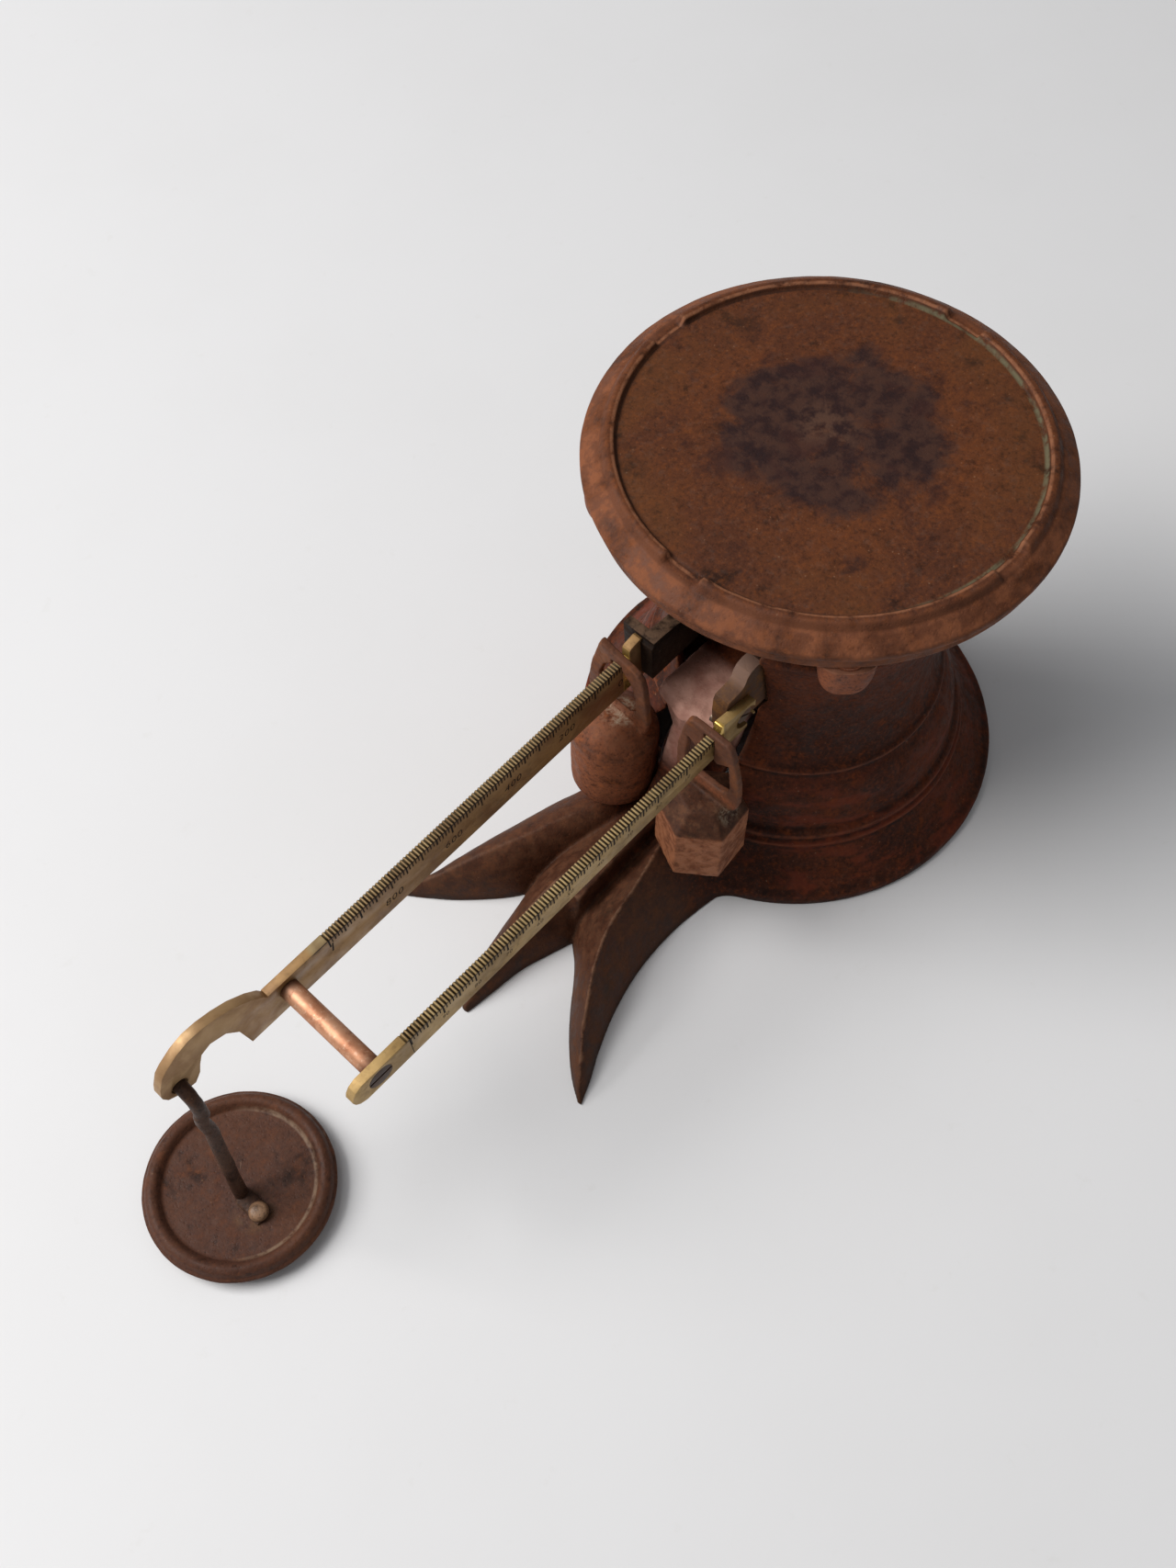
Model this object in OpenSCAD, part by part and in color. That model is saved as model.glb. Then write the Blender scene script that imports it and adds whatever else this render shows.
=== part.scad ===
// Counterbalance scale: a round iron platform on a bell-shaped pedestal with a
// claw foot, and twin notched brass beams that carry two hanging poises and a
// counterpoise disc. Millimetres. Origin: pedestal axis on the table, the beams
// run toward -X, +Z is up. At rest the lever lies on its lower stop.

/* [Platform] */
// Diameter of the round plate at its rim
plate_d = 266.7; // [262:0.1:270]
// Height of the weighing surface above the table
plate_z = 277; // [276:0.5:280]
// Height of the four raised arcs above the weighing surface
ridge_h = 2; // [1:0.1:3]
// Half of the gap between two raised arcs, in degrees
ridge_gap = 5.5; // [3:0.5:10]
// Depth of the plate's skirt below the rim
skirt_h = 12.9; // [12:0.1:12.9]

/* [Pedestal] */
// Diameter of the bell's foot ring
foot_d = 271.6; // [270:0.1:273]
// Half width of the solid front pillar between the two windows
pillar_w = 22; // [20:0.5:22]
// Half width of the upright keel between the two poises
keel_w = 6.6; // [5:0.2:7]
// Height of the flat deck on the front pillar
deck_z = 140; // [138:0.5:141]

/* [Lever] */
// Downward slope of the beams at rest, in degrees
tilt = 3.5; // [3.5:0.1:3.5]
// Distance from the fulcrum edge to the load edge
load_arm = 20; // [20:0.5:20]
// Height of the fulcrum edge above the table
fulcrum_z = 164.7; // [164:0.1:165.2]
// Half height of the lever's knife bosses
boss_h = 16; // [15:0.5:17]
// Half angle of the V bearings, in degrees
vee = 45; // [42:1:50]
// Clearance between a knife edge and the bottom of its V
edge_gap = 0.3; // [0.2:0.05:0.4]

/* [Beams] */
// Thickness of each brass beam
beam_t = 5.6; // [5.2:0.1:6]
// Distance from the centre plane to a beam's inner face
beam_y = 32.7; // [32.5:0.1:33]
// Height of the beams' top edge over the fulcrum edge
beam_top = 11; // [11:0.1:11]
// Lower edge of the left beam under the fulcrum edge
left_low = 17.9; // [16:0.1:18.5]
// Lower edge of the right beam under the fulcrum edge
right_low = 9.8; // [9:0.1:12]
// Number of divisions on each beam
divisions = 100; // [50:1:100]
// Notch pitch of the left beam
left_pitch = 2.265; // [2.2:0.005:2.265]
// Notch pitch of the right beam
right_pitch = 2.336; // [2.2:0.002:2.336]
// Depth of a notch
notch_d = 1.4; // [1:0.1:1.6]
// Diameter of the eye at the end of the left beam
eye_d = 10.5; // [10:0.1:11]
// Diameter of the spacer rod between the beams
spacer_d = 12; // [11:0.2:13]

/* [Poises] */
// Radius of the round left poise
left_poise_r = 26.7; // [25:0.1:26.8]
// Corner radius of the six-sided right poise
right_poise_r = 27.3; // [25:0.1:27.4]
// Thickness of a poise's loop
loop_t = 4.4; // [4.2:0.1:5]
// Forward lean of a poise's loop, in degrees
loop_lean = 2; // [1:0.5:3]

/* [Counterpoise] */
// Radius of the counterpoise disc
disc_r = 56; // [54:0.5:57]
// Diameter of the hanger rod
rod_d = 8.6; // [8:0.1:9]
// Height of the disc's underside above the table
disc_z = 6; // [5:0.5:7]

/* [Check link] */
// Drop from the lever's edges to the link's pivots
link_drop = 105; // [105:1:105]
// Diameter of the link's two pins
link_pin_d = 5; // [4.6:0.1:5.2]

/* [Hidden] */
$fn = 96;

// fulcrum edge, and the pivots of the check link straight below the two edges
xf = -load_arm*cos(tilt);
zf = fulcrum_z;
zp = zf + load_arm*sin(tilt);
zf2 = zf - link_drop;
zp2 = zp - link_drop;
by = beam_y + beam_t/2;               // centre plane of a beam
left_zero = -105.4;                   // left beam's zero notch, along the beam
right_zero = -106.46;                 // right beam's zero notch, along the beam
edge_q = beam_top + 0.25;             // poise edges ride just over the teeth
kr = foot_d/271.6;
lpx = -128.6;                         // left poise axis
rpx = -129;                           // right poise axis
eye_p = -436; eye_q = 4.5;
ex = xf + eye_p*cos(tilt) - eye_q*sin(tilt);
ez = zf + eye_p*sin(tilt) + eye_q*cos(tilt);
rod_y = 22;                           // hanger rod's upright, beside the left beam
disc_x = -458; disc_y = 21;
screw_y = disc_y - 14;                // screw that holds the rod's foot
span_p = -362.4; span_q = 0.8;        // spacer rod

// outline of the bell, outside from the foot up, then inside from the top down
bell_out = [[135.8,0],[135.8,5],[134.5,7.5],[131,8.5],[129.5,9.5],[124,15],[118.5,21.5],[114,28],
            [112,31],[111.8,33.5],[110.6,36],[108.6,37.2],[109.3,39.5],[108.9,42],[107.2,44.3],
            [105.2,45.2],[104.6,48],[104,55],[102.6,63],[99.8,71],[95.8,78],[92.6,82],[91.2,84.5],
            [92.2,86.3],[91.8,88.6],[89.6,90.6],[87,95],[84.6,102],[83.2,110],[82.6,120],[82.8,132],
            [84,146],[86,160],[88.6,174],[91.2,186],[93.6,194],[96.2,198.5],[97,202],[95.6,205],[92.5,206]];
bell_in = [[89.5,206],[88,200],[85,188],[82.5,174],[80,160],[78,146],[76.8,132],[76.6,120],[77.2,110],
           [78.6,102],[81,94],[86,84],[93,70],[97,60],[98,50],[101,42],[104.5,32],[112,20],[120,12],
           [126,6.5],[129.5,0]];

// outline of the goose-neck in beam coordinates, over the top and back underneath
neck_top = [[-374.5,10],[-376.3,14.5],[-382.5,22.1],[-392.2,29.9],[-401.4,34.3],[-410.5,36.9],
            [-419.3,37.4],[-427.9,34.6],[-436.5,29.1],[-440.8,25],[-445,15.9],[-446.6,10.1]];
neck_low = [[-446.6,6.7],[-444.7,1.1],[-437.8,-4.3],[-428.7,-6.1],[-423.9,0],[-422.3,4.8],
            [-421.5,7.1],[-418.2,14.2],[-411.6,16.9],[-402.3,12.9],[-396.1,2.9],[-394.3,-10.1],[-393.2,-18]];

// beam coordinates: x along the lever, z across it, fulcrum edge at the origin
module lever_frame() { translate([xf, 0, zf]) rotate([0, -tilt, 0]) children(); }
// a flat outline drawn in x and z, standing between y0 and y1
module upright(y0, y1) { translate([0, y1, 0]) rotate([90, 0, 0]) linear_extrude(y1 - y0) children(); }
// the same on the left (s = 1) or right (s = -1) side, between two distances from the centre plane
module side(s, a, b) { if (s > 0) upright(a, b) children(); else upright(-b, -a) children(); }
module yrod(x, z, r, y0, y1) { translate([x, y1, z]) rotate([90, 0, 0]) cylinder(r = r, h = y1 - y0); }

// ---------------------------------------------------------------- pedestal
// one cross-section of the claw foot, standing at x
module section(x, pts) { translate([x, 0, 0]) rotate([90, 0, 90]) linear_extrude(0.4) polygon(pts); }

module claw() {
    // root and instep
    hull() {
        section(-118, [[-54,0],[54,0],[48,18],[24,38],[6,48],[-6,48],[-24,38],[-48,18]]);
        section(-164, [[-38,0],[45,0],[44,20],[30,38],[7,47],[-7,47],[-27,38],[-37,20]]);
    }
    hull() {
        section(-163, [[-38,0],[45,0],[44,20],[30,38],[7,47],[-7,47],[-27,38],[-37,20]]);
        section(-206, [[-49,0],[67,0],[65,20],[50,43],[12,45],[-33,41],[-47,20]]);
    }
    // middle toe
    hull() {
        section(-206, [[-8,0],[30,0],[28,24],[12,46],[-6,24]]);
        section(-250, [[0,0],[24,0],[22,14],[12,26],[1,14]]);
        section(-291, [[4,0],[10,0],[9,4],[7,5],[5,4]]);
    }
    // left toe
    hull() {
        section(-200, [[32,0],[66,0],[64,22],[50,44],[34,26]]);
        section(-234, [[56,0],[84,0],[80,18],[70,28],[58,16]]);
        section(-263, [[90,0],[96,0],[95,4],[93,5],[91,4]]);
    }
    // right toe
    hull() {
        section(-206, [[-49,0],[-10,0],[-12,24],[-33,42],[-46,24]]);
        section(-248, [[-66,0],[-38,0],[-42,15],[-54,26],[-64,15]]);
        section(-283, [[-86,0],[-80,0],[-81,4],[-83,5],[-85,4]]);
    }
}

// the bell as if it were solid, from under the table level to its rim
module bell_block() rotate_extrude($fn = 180)
    polygon([for (p = concat([[0,-1],[135.8,-1]], bell_out, [[0,206]])) [p[0]*kr, p[1]]]);

// bell with its inner shelf and ledges; the claw foot below is the same casting
module pedestal() color([0.42, 0.24, 0.17]) difference() {
    union() {
        difference() {
            rotate_extrude($fn = 180) polygon([for (p = concat(bell_out, bell_in)) [p[0]*kr, p[1]]]);
            // open front above the deck for the lever, and a window on each side of the pillar
            translate([-130, 0, 0]) rotate([90, 0, 90]) linear_extrude(80)
                polygon([[-36,deck_z],[36,deck_z],[36,210],[-36,210]]);
            for (s = [-1, 1]) translate([-130, 0, 0]) rotate([90, 0, 90]) linear_extrude(80)
                polygon([for (p = [[22,48],[46,48],[45.4,57],[38.7,71],[32.6,80],[30,90],[30,104],[33,114],[36,122],
                                   [36,150],[22,150]]) [s*p[0], p[1]]]);
        }
        // the deck runs on inside as a shelf for the stop bracket
        upright(-pillar_w, pillar_w) polygon([[-78,110],[-72,110],[-60,127],[-24,130],[-24,deck_z],[-78,deck_z]]);
        // ledges for the fulcrum bearings
        intersection() {
            cylinder(r = 79.5, h = 160);
            for (s = [-1, 1]) translate([xf-12, s > 0 ? 56 : -86, 128]) cube([24, 30, 22]);
        }
        // ledges for the link bracket
        intersection() {
            cylinder(r = 106, h = 60);
            for (s = [-1, 1]) translate([xf-10, s > 0 ? 80 : -110, 30]) cube([20, 30, 14]);
        }
    }
    for (y = [-6, 6]) translate([-31.5, y, 120]) cylinder(r = 2.6, h = 30);
    for (s = [-1, 1]) translate([xf, s*87, 33]) cylinder(r = 3, h = 20);
}

// toes, keel and the front pillar with its flat deck, cut back to the bell's outside
module claw_foot() color([0.42, 0.24, 0.17]) difference() {
    union() {
        claw();
        upright(-keel_w, keel_w) polygon([[-88,118],[-112,118],[-117,102],[-123,80],[-132,66],[-152,58],
                                          [-182,48],[-205,42],[-205,0],[-88,0]]);
        intersection() {
            linear_extrude(deck_z) polygon([[-71,-pillar_w],[-106,-pillar_w],[-112.5,0],[-106,pillar_w],[-71,pillar_w]]);
            translate([-130, 0, 0]) rotate([90, 0, 90]) linear_extrude(70)
                polygon([[-pillar_w,145],[-pillar_w,deck_z-4],[-keel_w,116],[-keel_w,90],[keel_w,90],[keel_w,116],
                         [pillar_w,deck_z-4],[pillar_w,145]]);
        }
    }
    bell_block();
}

module fulcrum_bearing(s) color([0.45, 0.46, 0.48]) translate([xf, 0, zf]) side(s, 56, 66)
    polygon([[-9,150-zf],[9,150-zf],[9,4],[(4+edge_gap)*tan(vee),4],[0,-edge_gap],[-(4+edge_gap)*tan(vee),4],[-9,4]]);
module fulcrum_bearing_left() fulcrum_bearing(1);
module fulcrum_bearing_right() fulcrum_bearing(-1);

// lower and upper jaw round the lever's front cross bar
module stop_bracket() color([0.38, 0.36, 0.35]) difference() {
    upright(-11, 11) polygon([[-25,deck_z],[-25,deck_z+5],[-37,deck_z+5],[-37,181],[-57,181],[-57,176.4],[-42,176.4],
                              [-42,153.4],[-57,153.4],[-57,148],[-47,deck_z]]);
    for (y = [-6, 6]) translate([-31.5, y, deck_z-1]) cylinder(r = 2.6, h = 8);
}
module stop_screws() color([0.5, 0.5, 0.5]) for (y = [-6, 6]) translate([-31.5, y, deck_z-9]) difference() {
    union() { cylinder(r = 2.5, h = 14.2); translate([0, 0, 14.2]) cylinder(r = 4.2, h = 2.6); }
    translate([-5, -0.6, 15.6]) cube([10, 1.2, 3]);
}

module link_bracket() color([0.4, 0.36, 0.33]) difference() {
    union() {
        translate([xf-8, -92, 44]) cube([16, 184, 6]);
        for (s = [-1, 1]) side(s, 4, 8) union() {
            translate([xf, zf2]) circle(r = 6);
            translate([xf-6, 49]) square([12, zf2-49]);
        }
    }
    yrod(xf, zf2, link_pin_d/2 + 0.05, -12, 12);
    for (s = [-1, 1]) translate([xf, s*87, 40]) cylinder(r = 3.1, h = 14);
}
module bracket_screws() color([0.5, 0.5, 0.5]) for (s = [-1, 1]) translate([xf, s*87, 34]) difference() {
    union() { cylinder(r = 3, h = 16); translate([0, 0, 16]) cylinder(r = 5.4, h = 3.4); }
    translate([-6, -0.7, 18]) cube([12, 1.4, 3]);
}
module link_anchor_pin() color([0.55, 0.55, 0.56]) union() {
    yrod(xf, zf2, link_pin_d/2, -8, 10);
    yrod(xf, zf2, link_pin_d/2+1.6, -10.4, -8);
}

// ---------------------------------------------------------------- lever
knife_down = [[0,0],[4,7],[4,12],[-4,12],[-4,7]];
module arm_plan(s) polygon([for (p = [[-90,24],[-90,beam_y],[-46,beam_y],[-14,54],[50,54],[50,44],[-10,44],[-42,24]]) [p[0], s*p[1]]]);

module main_lever() color([0.33, 0.24, 0.2]) lever_frame() difference() {
    union() {
        for (s = [-1, 1]) {
            translate([0, 0, -12]) linear_extrude(25) arm_plan(s);
            side(s, 44, 54) polygon([[-16,-boss_h+2],[-12,-boss_h],[30,-boss_h],[34,-boss_h+2],[34,boss_h-4],[30,boss_h],[-12,boss_h],[-16,boss_h-4]]);
        }
        // nose cheeks: a plain one on the left, a humped one on the right
        side(1, 24, beam_y) polygon([[-90,-13],[-90,17.5],[-88,19.5],[-82,21.5],[-68,19.5],[-58,16.5],[-50,12],[-50,-13]]);
        side(-1, 22.6, beam_y) polygon([[-90,-13],[-91.3,-4],[-91.5,8],[-90.6,18],[-89,21.2],[-80,21.6],[-77,22.8],[-75.2,25.5],
            [-74,29],[-71.5,31.6],[-67,33],[-62,32.2],[-57,28.4],[-52,20.5],[-47,12],[-47,-13]]);
        // front and rear cross bars
        translate([-36, -38, -9]) cube([10, 76, 18]);
        translate([42, -46, -9]) cube([8, 92, 18]);
        // lip behind the left beam's tail
        translate([-88, 24, -1]) cube([6, 23.5, 22.5]);
    }
    for (s = [-1, 1]) {
        side(s, 43, 55) polygon(knife_down);
        side(s, 43, 55) translate([load_arm, 0]) polygon([for (p = knife_down) [p[0], -p[1]]]);
    }
    for (p = [-84, -75]) yrod(p, -9, 2.1, 26, 34);
    yrod(-80, 2, 2.1, -34, -25);
    yrod(-88.2, -7, 1.7, -34, -20);
}
module fulcrum_knife(s) color([0.6, 0.6, 0.62]) lever_frame() side(s, 44, 66.6) polygon(knife_down);
module fulcrum_knife_left() fulcrum_knife(1);
module fulcrum_knife_right() fulcrum_knife(-1);
module load_knife(s) color([0.6, 0.6, 0.62]) lever_frame() side(s, 30, 54) translate([load_arm, 0]) polygon([for (p = knife_down) [p[0], -p[1]]]);
module load_knife_left() load_knife(1);
module load_knife_right() load_knife(-1);

// notched top edge, from the zero notch toward the free end
function notches(p0, pitch, n) = [for (i = [0:n]) for (k = [[0.8,0],[0,-notch_d],[-0.8,0]]) [p0 - i*pitch + k[0], beam_top + k[1]]];

module left_beam() color([0.72, 0.64, 0.36]) lever_frame() difference() {
    side(1, beam_y, beam_y + beam_t) polygon(concat(
        [[-69,-left_low],[-69,-3],[-88.3,-3],[-88.3,19.5],[-90,20.4],[-97.6,18.8],[-99,17.4],[-99.6,beam_top]],
        notches(left_zero, left_pitch, divisions), [[-374,beam_top]], neck_top, neck_low,
        [[-391,-left_low]]));
    yrod(eye_p, eye_q, eye_d/2, 30, 42);
    for (p = [-84, -75]) yrod(p, -9, 2.1, 32, 39);
    translate([span_p, 38.5, span_q]) rotate([90, 0, 0]) { cylinder(r = 3.1, h = 7); cylinder(r1 = 8.3, r2 = 3.3, h = 4.2); }
}
module right_beam() color([0.74, 0.68, 0.42]) lever_frame() difference() {
    side(-1, beam_y, beam_y + beam_t) polygon(concat(
        [[-79,-right_low],[-79,-3],[-72.6,-3],[-72.6,11.4],[-99.6,17.2],[-101,16.9],[-102.3,beam_top]],
        notches(right_zero, right_pitch, divisions+1),
        [[-374,beam_top],[-378.5,8.5],[-381,4.5],[-382,0.6],[-381,-3.6],[-378.5,-7.4],[-374,-right_low]]));
    // wide counterbore in the tail for the beam's screw
    yrod(-80, 2, 8.1, -39, -34.6);
    yrod(-80, 2, 2.1, -37, -32);
    yrod(-88.2, -7, 1.7, -37, -32);
    translate([span_p, -38.5, span_q]) rotate([-90, 0, 0]) { cylinder(r = 3.1, h = 7); cylinder(r1 = 8.3, r2 = 3.3, h = 4.2); }
}
module spacer_rod() color([0.72, 0.42, 0.26]) lever_frame() difference() {
    yrod(span_p, span_q, spacer_d/2, -beam_y, beam_y);
    for (s = [-1, 1]) yrod(span_p, span_q, 3, s > 0 ? 18 : -34, s > 0 ? 34 : -18);
}
module spacer_screws() color([0.6, 0.5, 0.3]) lever_frame() for (s = [-1, 1])
    translate([span_p, s*(beam_y + beam_t), span_q]) rotate([s*90, 0, 0]) difference() {
        union() { cylinder(r1 = 7.9, r2 = 3, h = 4.1); cylinder(r = 3, h = 19); }
        translate([-9, -0.8, -1]) cube([18, 1.6, 2.4]);
    }
module beam_screws() color([0.5, 0.5, 0.5]) lever_frame() {
    for (p = [-84, -75]) { yrod(p, -9, 2, 26.2, 38.4); yrod(p, -9, 3.6, 38.3, 40.5); }
    difference() {
        union() { yrod(-80, 2, 2, -34.7, -25.2); yrod(-80, 2, 5.6, -36.8, -34.6); }
        translate([-80, -36, 2]) rotate([0, 35, 0]) translate([-7, -2, -0.7]) cube([14, 2, 1.4]);
    }
    yrod(-88.2, -7, 1.6, -36.8, -22.4);
    yrod(-88.2, -7, 3, -22.6, -20.4);
}

// ---------------------------------------------------------------- platform
pr = plate_d/2;
rz = plate_z - 9.1;                   // height of the widest rim
module plate() color([0.48, 0.27, 0.18]) union() {
    rotate_extrude($fn = 180) polygon([[0,plate_z],[113.2,plate_z],[114.4,plate_z-0.6],[121.6,plate_z-0.8],
        [124.5,plate_z-1.9],[128.5,plate_z-5],[131.6,plate_z-7.4],[pr-0.6,rz+0.9],[pr,rz],[pr,rz-2.2],[pr-1.2,rz-4.2],
        [pr-2.8,rz-5.4],[pr-3.2,rz-skirt_h],[pr-6,rz-skirt_h],[pr-6.2,plate_z-12],[120,plate_z-7],[0,plate_z-7]]);
    // four raised arcs
    for (a = [0:90:270]) rotate([0, 0, a + ridge_gap]) rotate_extrude(angle = 90 - 2*ridge_gap, $fn = 180)
        polygon([[114.8,plate_z-1.5],[115.6,plate_z+ridge_h-0.5],[116.8,plate_z+ridge_h],[119.2,plate_z+ridge_h],
                 [120.4,plate_z+ridge_h-0.5],[121.2,plate_z-1.5]]);
}
spider_z = rz - skirt_h;              // the skirt rests on the spider's four bosses
module platform_spider() color([0.36, 0.22, 0.16]) difference() {
    union() {
        translate([0, 0, 213]) cylinder(r = 22, h = 17);
        translate([-7, -41, 213]) cube([14, 82, 12]);
        for (s = [-1, 1]) translate([-6, s > 0 ? 31 : -41, 176]) cube([12, 10, 40]);
        for (a = [45:90:315]) rotate([0, 0, a]) {
            upright(-6, 6) polygon([[0,213],[30,213],[70,216],[112,232],[118,240],[118,252],[108,252],[70,233],[30,228],[0,228]]);
            translate([121.5, 0, 0]) rotate_extrude($fn = 64) polygon([[0,225],[3,225.4],[5,227],[6.4,231],[7.6,240],
                [8.8,spider_z-4],[9,spider_z],[0,spider_z]]);
        }
    }
    translate([0, 0, 210]) cylinder(r = 6.05, h = 24);
}
module platform_stem() color([0.42, 0.4, 0.38]) difference() {
    union() {
        translate([0, 0, 76]) cylinder(r = 8, h = 137);
        translate([0, 0, 212]) cylinder(r = 6, h = 27);
        translate([-7, -9, zp2-9]) cube([14, 18, 26]);
    }
    translate([-8, -4, zp2-10]) cube([16, 8, 20]);
    yrod(0, zp2, link_pin_d/2, -12, 12);
}
module stem_nut() color([0.45, 0.42, 0.4]) translate([0, 0, 230]) difference() {
    cylinder(r = 11, h = 7, $fn = 6);
    translate([0, 0, -1]) cylinder(r = 6.1, h = 9);
}
module stem_pin() color([0.55, 0.55, 0.56]) union() {
    yrod(0, zp2, link_pin_d/2, -9, 11);
    yrod(0, zp2, link_pin_d/2+1.6, -11.4, -9);
}
module load_bearing(s) color([0.45, 0.46, 0.48]) translate([0, 0, zp]) side(s, 31, 41)
    polygon([[-9,176-zp],[9,176-zp],[9,-4],[(4+edge_gap)*tan(vee),-4],[0,edge_gap],[-(4+edge_gap)*tan(vee),-4],[-9,-4]]);
module load_bearing_left() load_bearing(1);
module load_bearing_right() load_bearing(-1);

module check_link() color([0.45, 0.43, 0.4]) difference() {
    upright(-3.5, 3.5) difference() {
        union() {
            translate([xf, zf2]) circle(r = 6.4);
            translate([0, zp2]) circle(r = 6.4);
            polygon([[xf,zf2-4.5],[0,zp2-4.5],[0,zp2+4.5],[xf,zf2+4.5]]);
        }
    }
    yrod(xf, zf2, link_pin_d/2 + 0.05, -6, 6);
    yrod(0, zp2, link_pin_d/2 + 0.3, -6, 6);
}

// ---------------------------------------------------------------- poises
function bx(p, q) = xf + p*cos(tilt) - q*sin(tilt);
function bz(p, q) = zf + p*sin(tilt) + q*cos(tilt);
lx = bx(left_zero, edge_q);  lz = bz(left_zero, edge_q);
rx = bx(right_zero, edge_q); rz2 = bz(right_zero, edge_q);

// hardened edge inside the top of a loop, riding on the beam
module poise_knife() rotate([0, -loop_lean, 0]) upright(-4, 4) polygon([[0,0],[0.7,1.8],[0.7,2.6],[-0.7,2.6],[-0.7,1.8]]);
module left_poise_knife() color([0.6, 0.6, 0.62]) translate([lx, by, lz]) poise_knife();
module right_poise_knife() color([0.6, 0.6, 0.62]) translate([rx, -by, rz2]) poise_knife();

// a half outline and its mirror image, from the bottom round to the bottom
function both(h) = concat(h, [for (i = [len(h)-1:-1:0]) [-h[i][0], h[i][1]]]);
// windows in the loops, narrow at the top where the beam passes
left_window = both([[9,-46],[13.4,-41],[14.2,-30],[13.6,-20],[9.6,-9],[3.6,-2.6],[3.4,0.9]]);
right_window = both([[10,-46],[15,-42.5],[17,-34],[15,-13],[6,-20],[3.4,-18.5],[3.4,0.9]]);
// flat loop standing across the beam; heights are measured from the edge
left_outline = concat([[16,-63],[22,-50],[23.5,-39.4],[22.4,-28.4],[20,-15.4],[16.6,-3],[14,6],[12.2,11],[5,8.6],
    [-4,6.8],[-12,5],[-17,2.6],[-19.6,-1.4],[-20.8,-8],[-22.4,-28.4],[-23.5,-39.4],[-22,-50],[-16,-63]]);
right_outline = both([[16,-66],[21.6,-56],[23.4,-48],[23.5,-38],[22.8,-27.4],[20,-14.4],[17.6,-3.4],[15.2,3],[12.6,4.8]]);
module loop(outline, window) rotate([0, -loop_lean, 0]) difference() {
    translate([-loop_t/2, 0, 0]) rotate([90, 0, 90]) linear_extrude(loop_t) difference() {
        polygon(outline);
        polygon(window);
    }
    translate([-1.4, -4.5, -1]) cube([2.8, 9, 4]);
}
module left_poise() color([0.45, 0.25, 0.16]) difference() {
    union() {
        translate([lpx, by, 0]) rotate_extrude($fn = 120) polygon([[0,54],[22.5,54],[25.4,55.2],[26.7,58],
            [left_poise_r,106.6],[26,108.3],[24.5,109],[20,115],[13,119],[0,120]]);
        translate([lx, by, lz]) loop(left_outline, left_window);
    }
    translate([lpx, by, 53]) cylinder(r = 7, h = 8);
}
module left_poise_plug() color([0.4, 0.4, 0.42]) translate([lpx, by, 54.6]) cylinder(r = 7, h = 6.4);
module right_poise() color([0.5, 0.29, 0.19]) difference() {
    union() {
        translate([rpx, -by, 0]) rotate([0, 0, -173.7]) {
            translate([0, 0, 52.4]) cylinder(r = right_poise_r, h = 44.2, $fn = 6);
            hull() {
                translate([0, 0, 96.6]) cylinder(r = right_poise_r, h = 0.2, $fn = 6);
                translate([0, 0, 109]) cylinder(r = 15, h = 0.2, $fn = 6);
            }
        }
        translate([rx, -by, rz2]) loop(right_outline, right_window);
    }
    translate([rpx, -by, 51]) cylinder(r = 7, h = 8);
}
module right_poise_plug() color([0.4, 0.4, 0.42]) translate([rpx, -by, 53]) cylinder(r = 7, h = 6);

// ---------------------------------------------------------------- counterpoise
// a bend in the rod, in the plane of y and z: centre, bend radius, and the angle it starts at
module bend(y, z, r, a) translate([ex, y, z]) rotate([90, 0, 90]) rotate([0, 0, a])
    rotate_extrude(angle = 90, $fn = 64) translate([r, 0]) circle(r = rod_d/2, $fn = 48);
module hanger_rod() color([0.3, 0.2, 0.15]) difference() {
    union() {
        // upright from the disc, leg through the eye, and its upturned tip
        translate([ex, rod_y, disc_z + 6]) cylinder(r = rod_d/2, h = ez - 7 - disc_z - 6);
        bend(rod_y + 7, ez - 7, 7, 90);
        yrod(ex, ez, rod_d/2, rod_y + 7, 41);
        bend(41, ez + 6, 6, -90);
        translate([ex, 47, ez + 6]) cylinder(r = rod_d/2, h = 6);
        // flattened foot under the screw
        translate([ex-5.5, screw_y, disc_z + 6]) cube([11, rod_y - screw_y + 3, 4]);
        translate([ex, screw_y, disc_z + 6]) cylinder(r = 5.5, h = 4);
    }
    translate([ex, screw_y, disc_z]) cylinder(r = 2.6, h = 14);
}
module counterpoise_disc() color([0.33, 0.2, 0.14]) difference() {
    translate([disc_x, disc_y, disc_z]) rotate_extrude($fn = 160) polygon([[0,0],[50,0],[54,1],[disc_r,3],[disc_r,4.6],
        [53.4,5.6],[51.6,7.8],[48.6,8.8],[45.6,8],[43,6],[0,6]]);
    translate([ex, screw_y, disc_z - 1]) cylinder(r = 2.6, h = 12);
}
module hanger_screw() color([0.42, 0.32, 0.25]) translate([ex, screw_y, disc_z + 0.5]) difference() {
    union() { cylinder(r = 2.5, h = 10); translate([0, 0, 9.5]) cylinder(r1 = 6.8, r2 = 5.6, h = 3); }
    translate([-8, -0.8, 11]) cube([16, 1.6, 3]);
}

pedestal();
claw_foot();
fulcrum_bearing_left();
fulcrum_bearing_right();
stop_bracket();
stop_screws();
link_bracket();
bracket_screws();
link_anchor_pin();
main_lever();
fulcrum_knife_left();
fulcrum_knife_right();
load_knife_left();
load_knife_right();
left_beam();
right_beam();
spacer_rod();
spacer_screws();
beam_screws();
plate();
platform_spider();
platform_stem();
stem_nut();
stem_pin();
load_bearing_left();
load_bearing_right();
check_link();
left_poise_knife();
right_poise_knife();
left_poise();
left_poise_plug();
right_poise();
right_poise_plug();
hanger_rod();
counterpoise_disc();
hanger_screw();
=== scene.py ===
import math
import numpy as np
import bpy
import bmesh
from mathutils import Vector, Matrix


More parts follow.
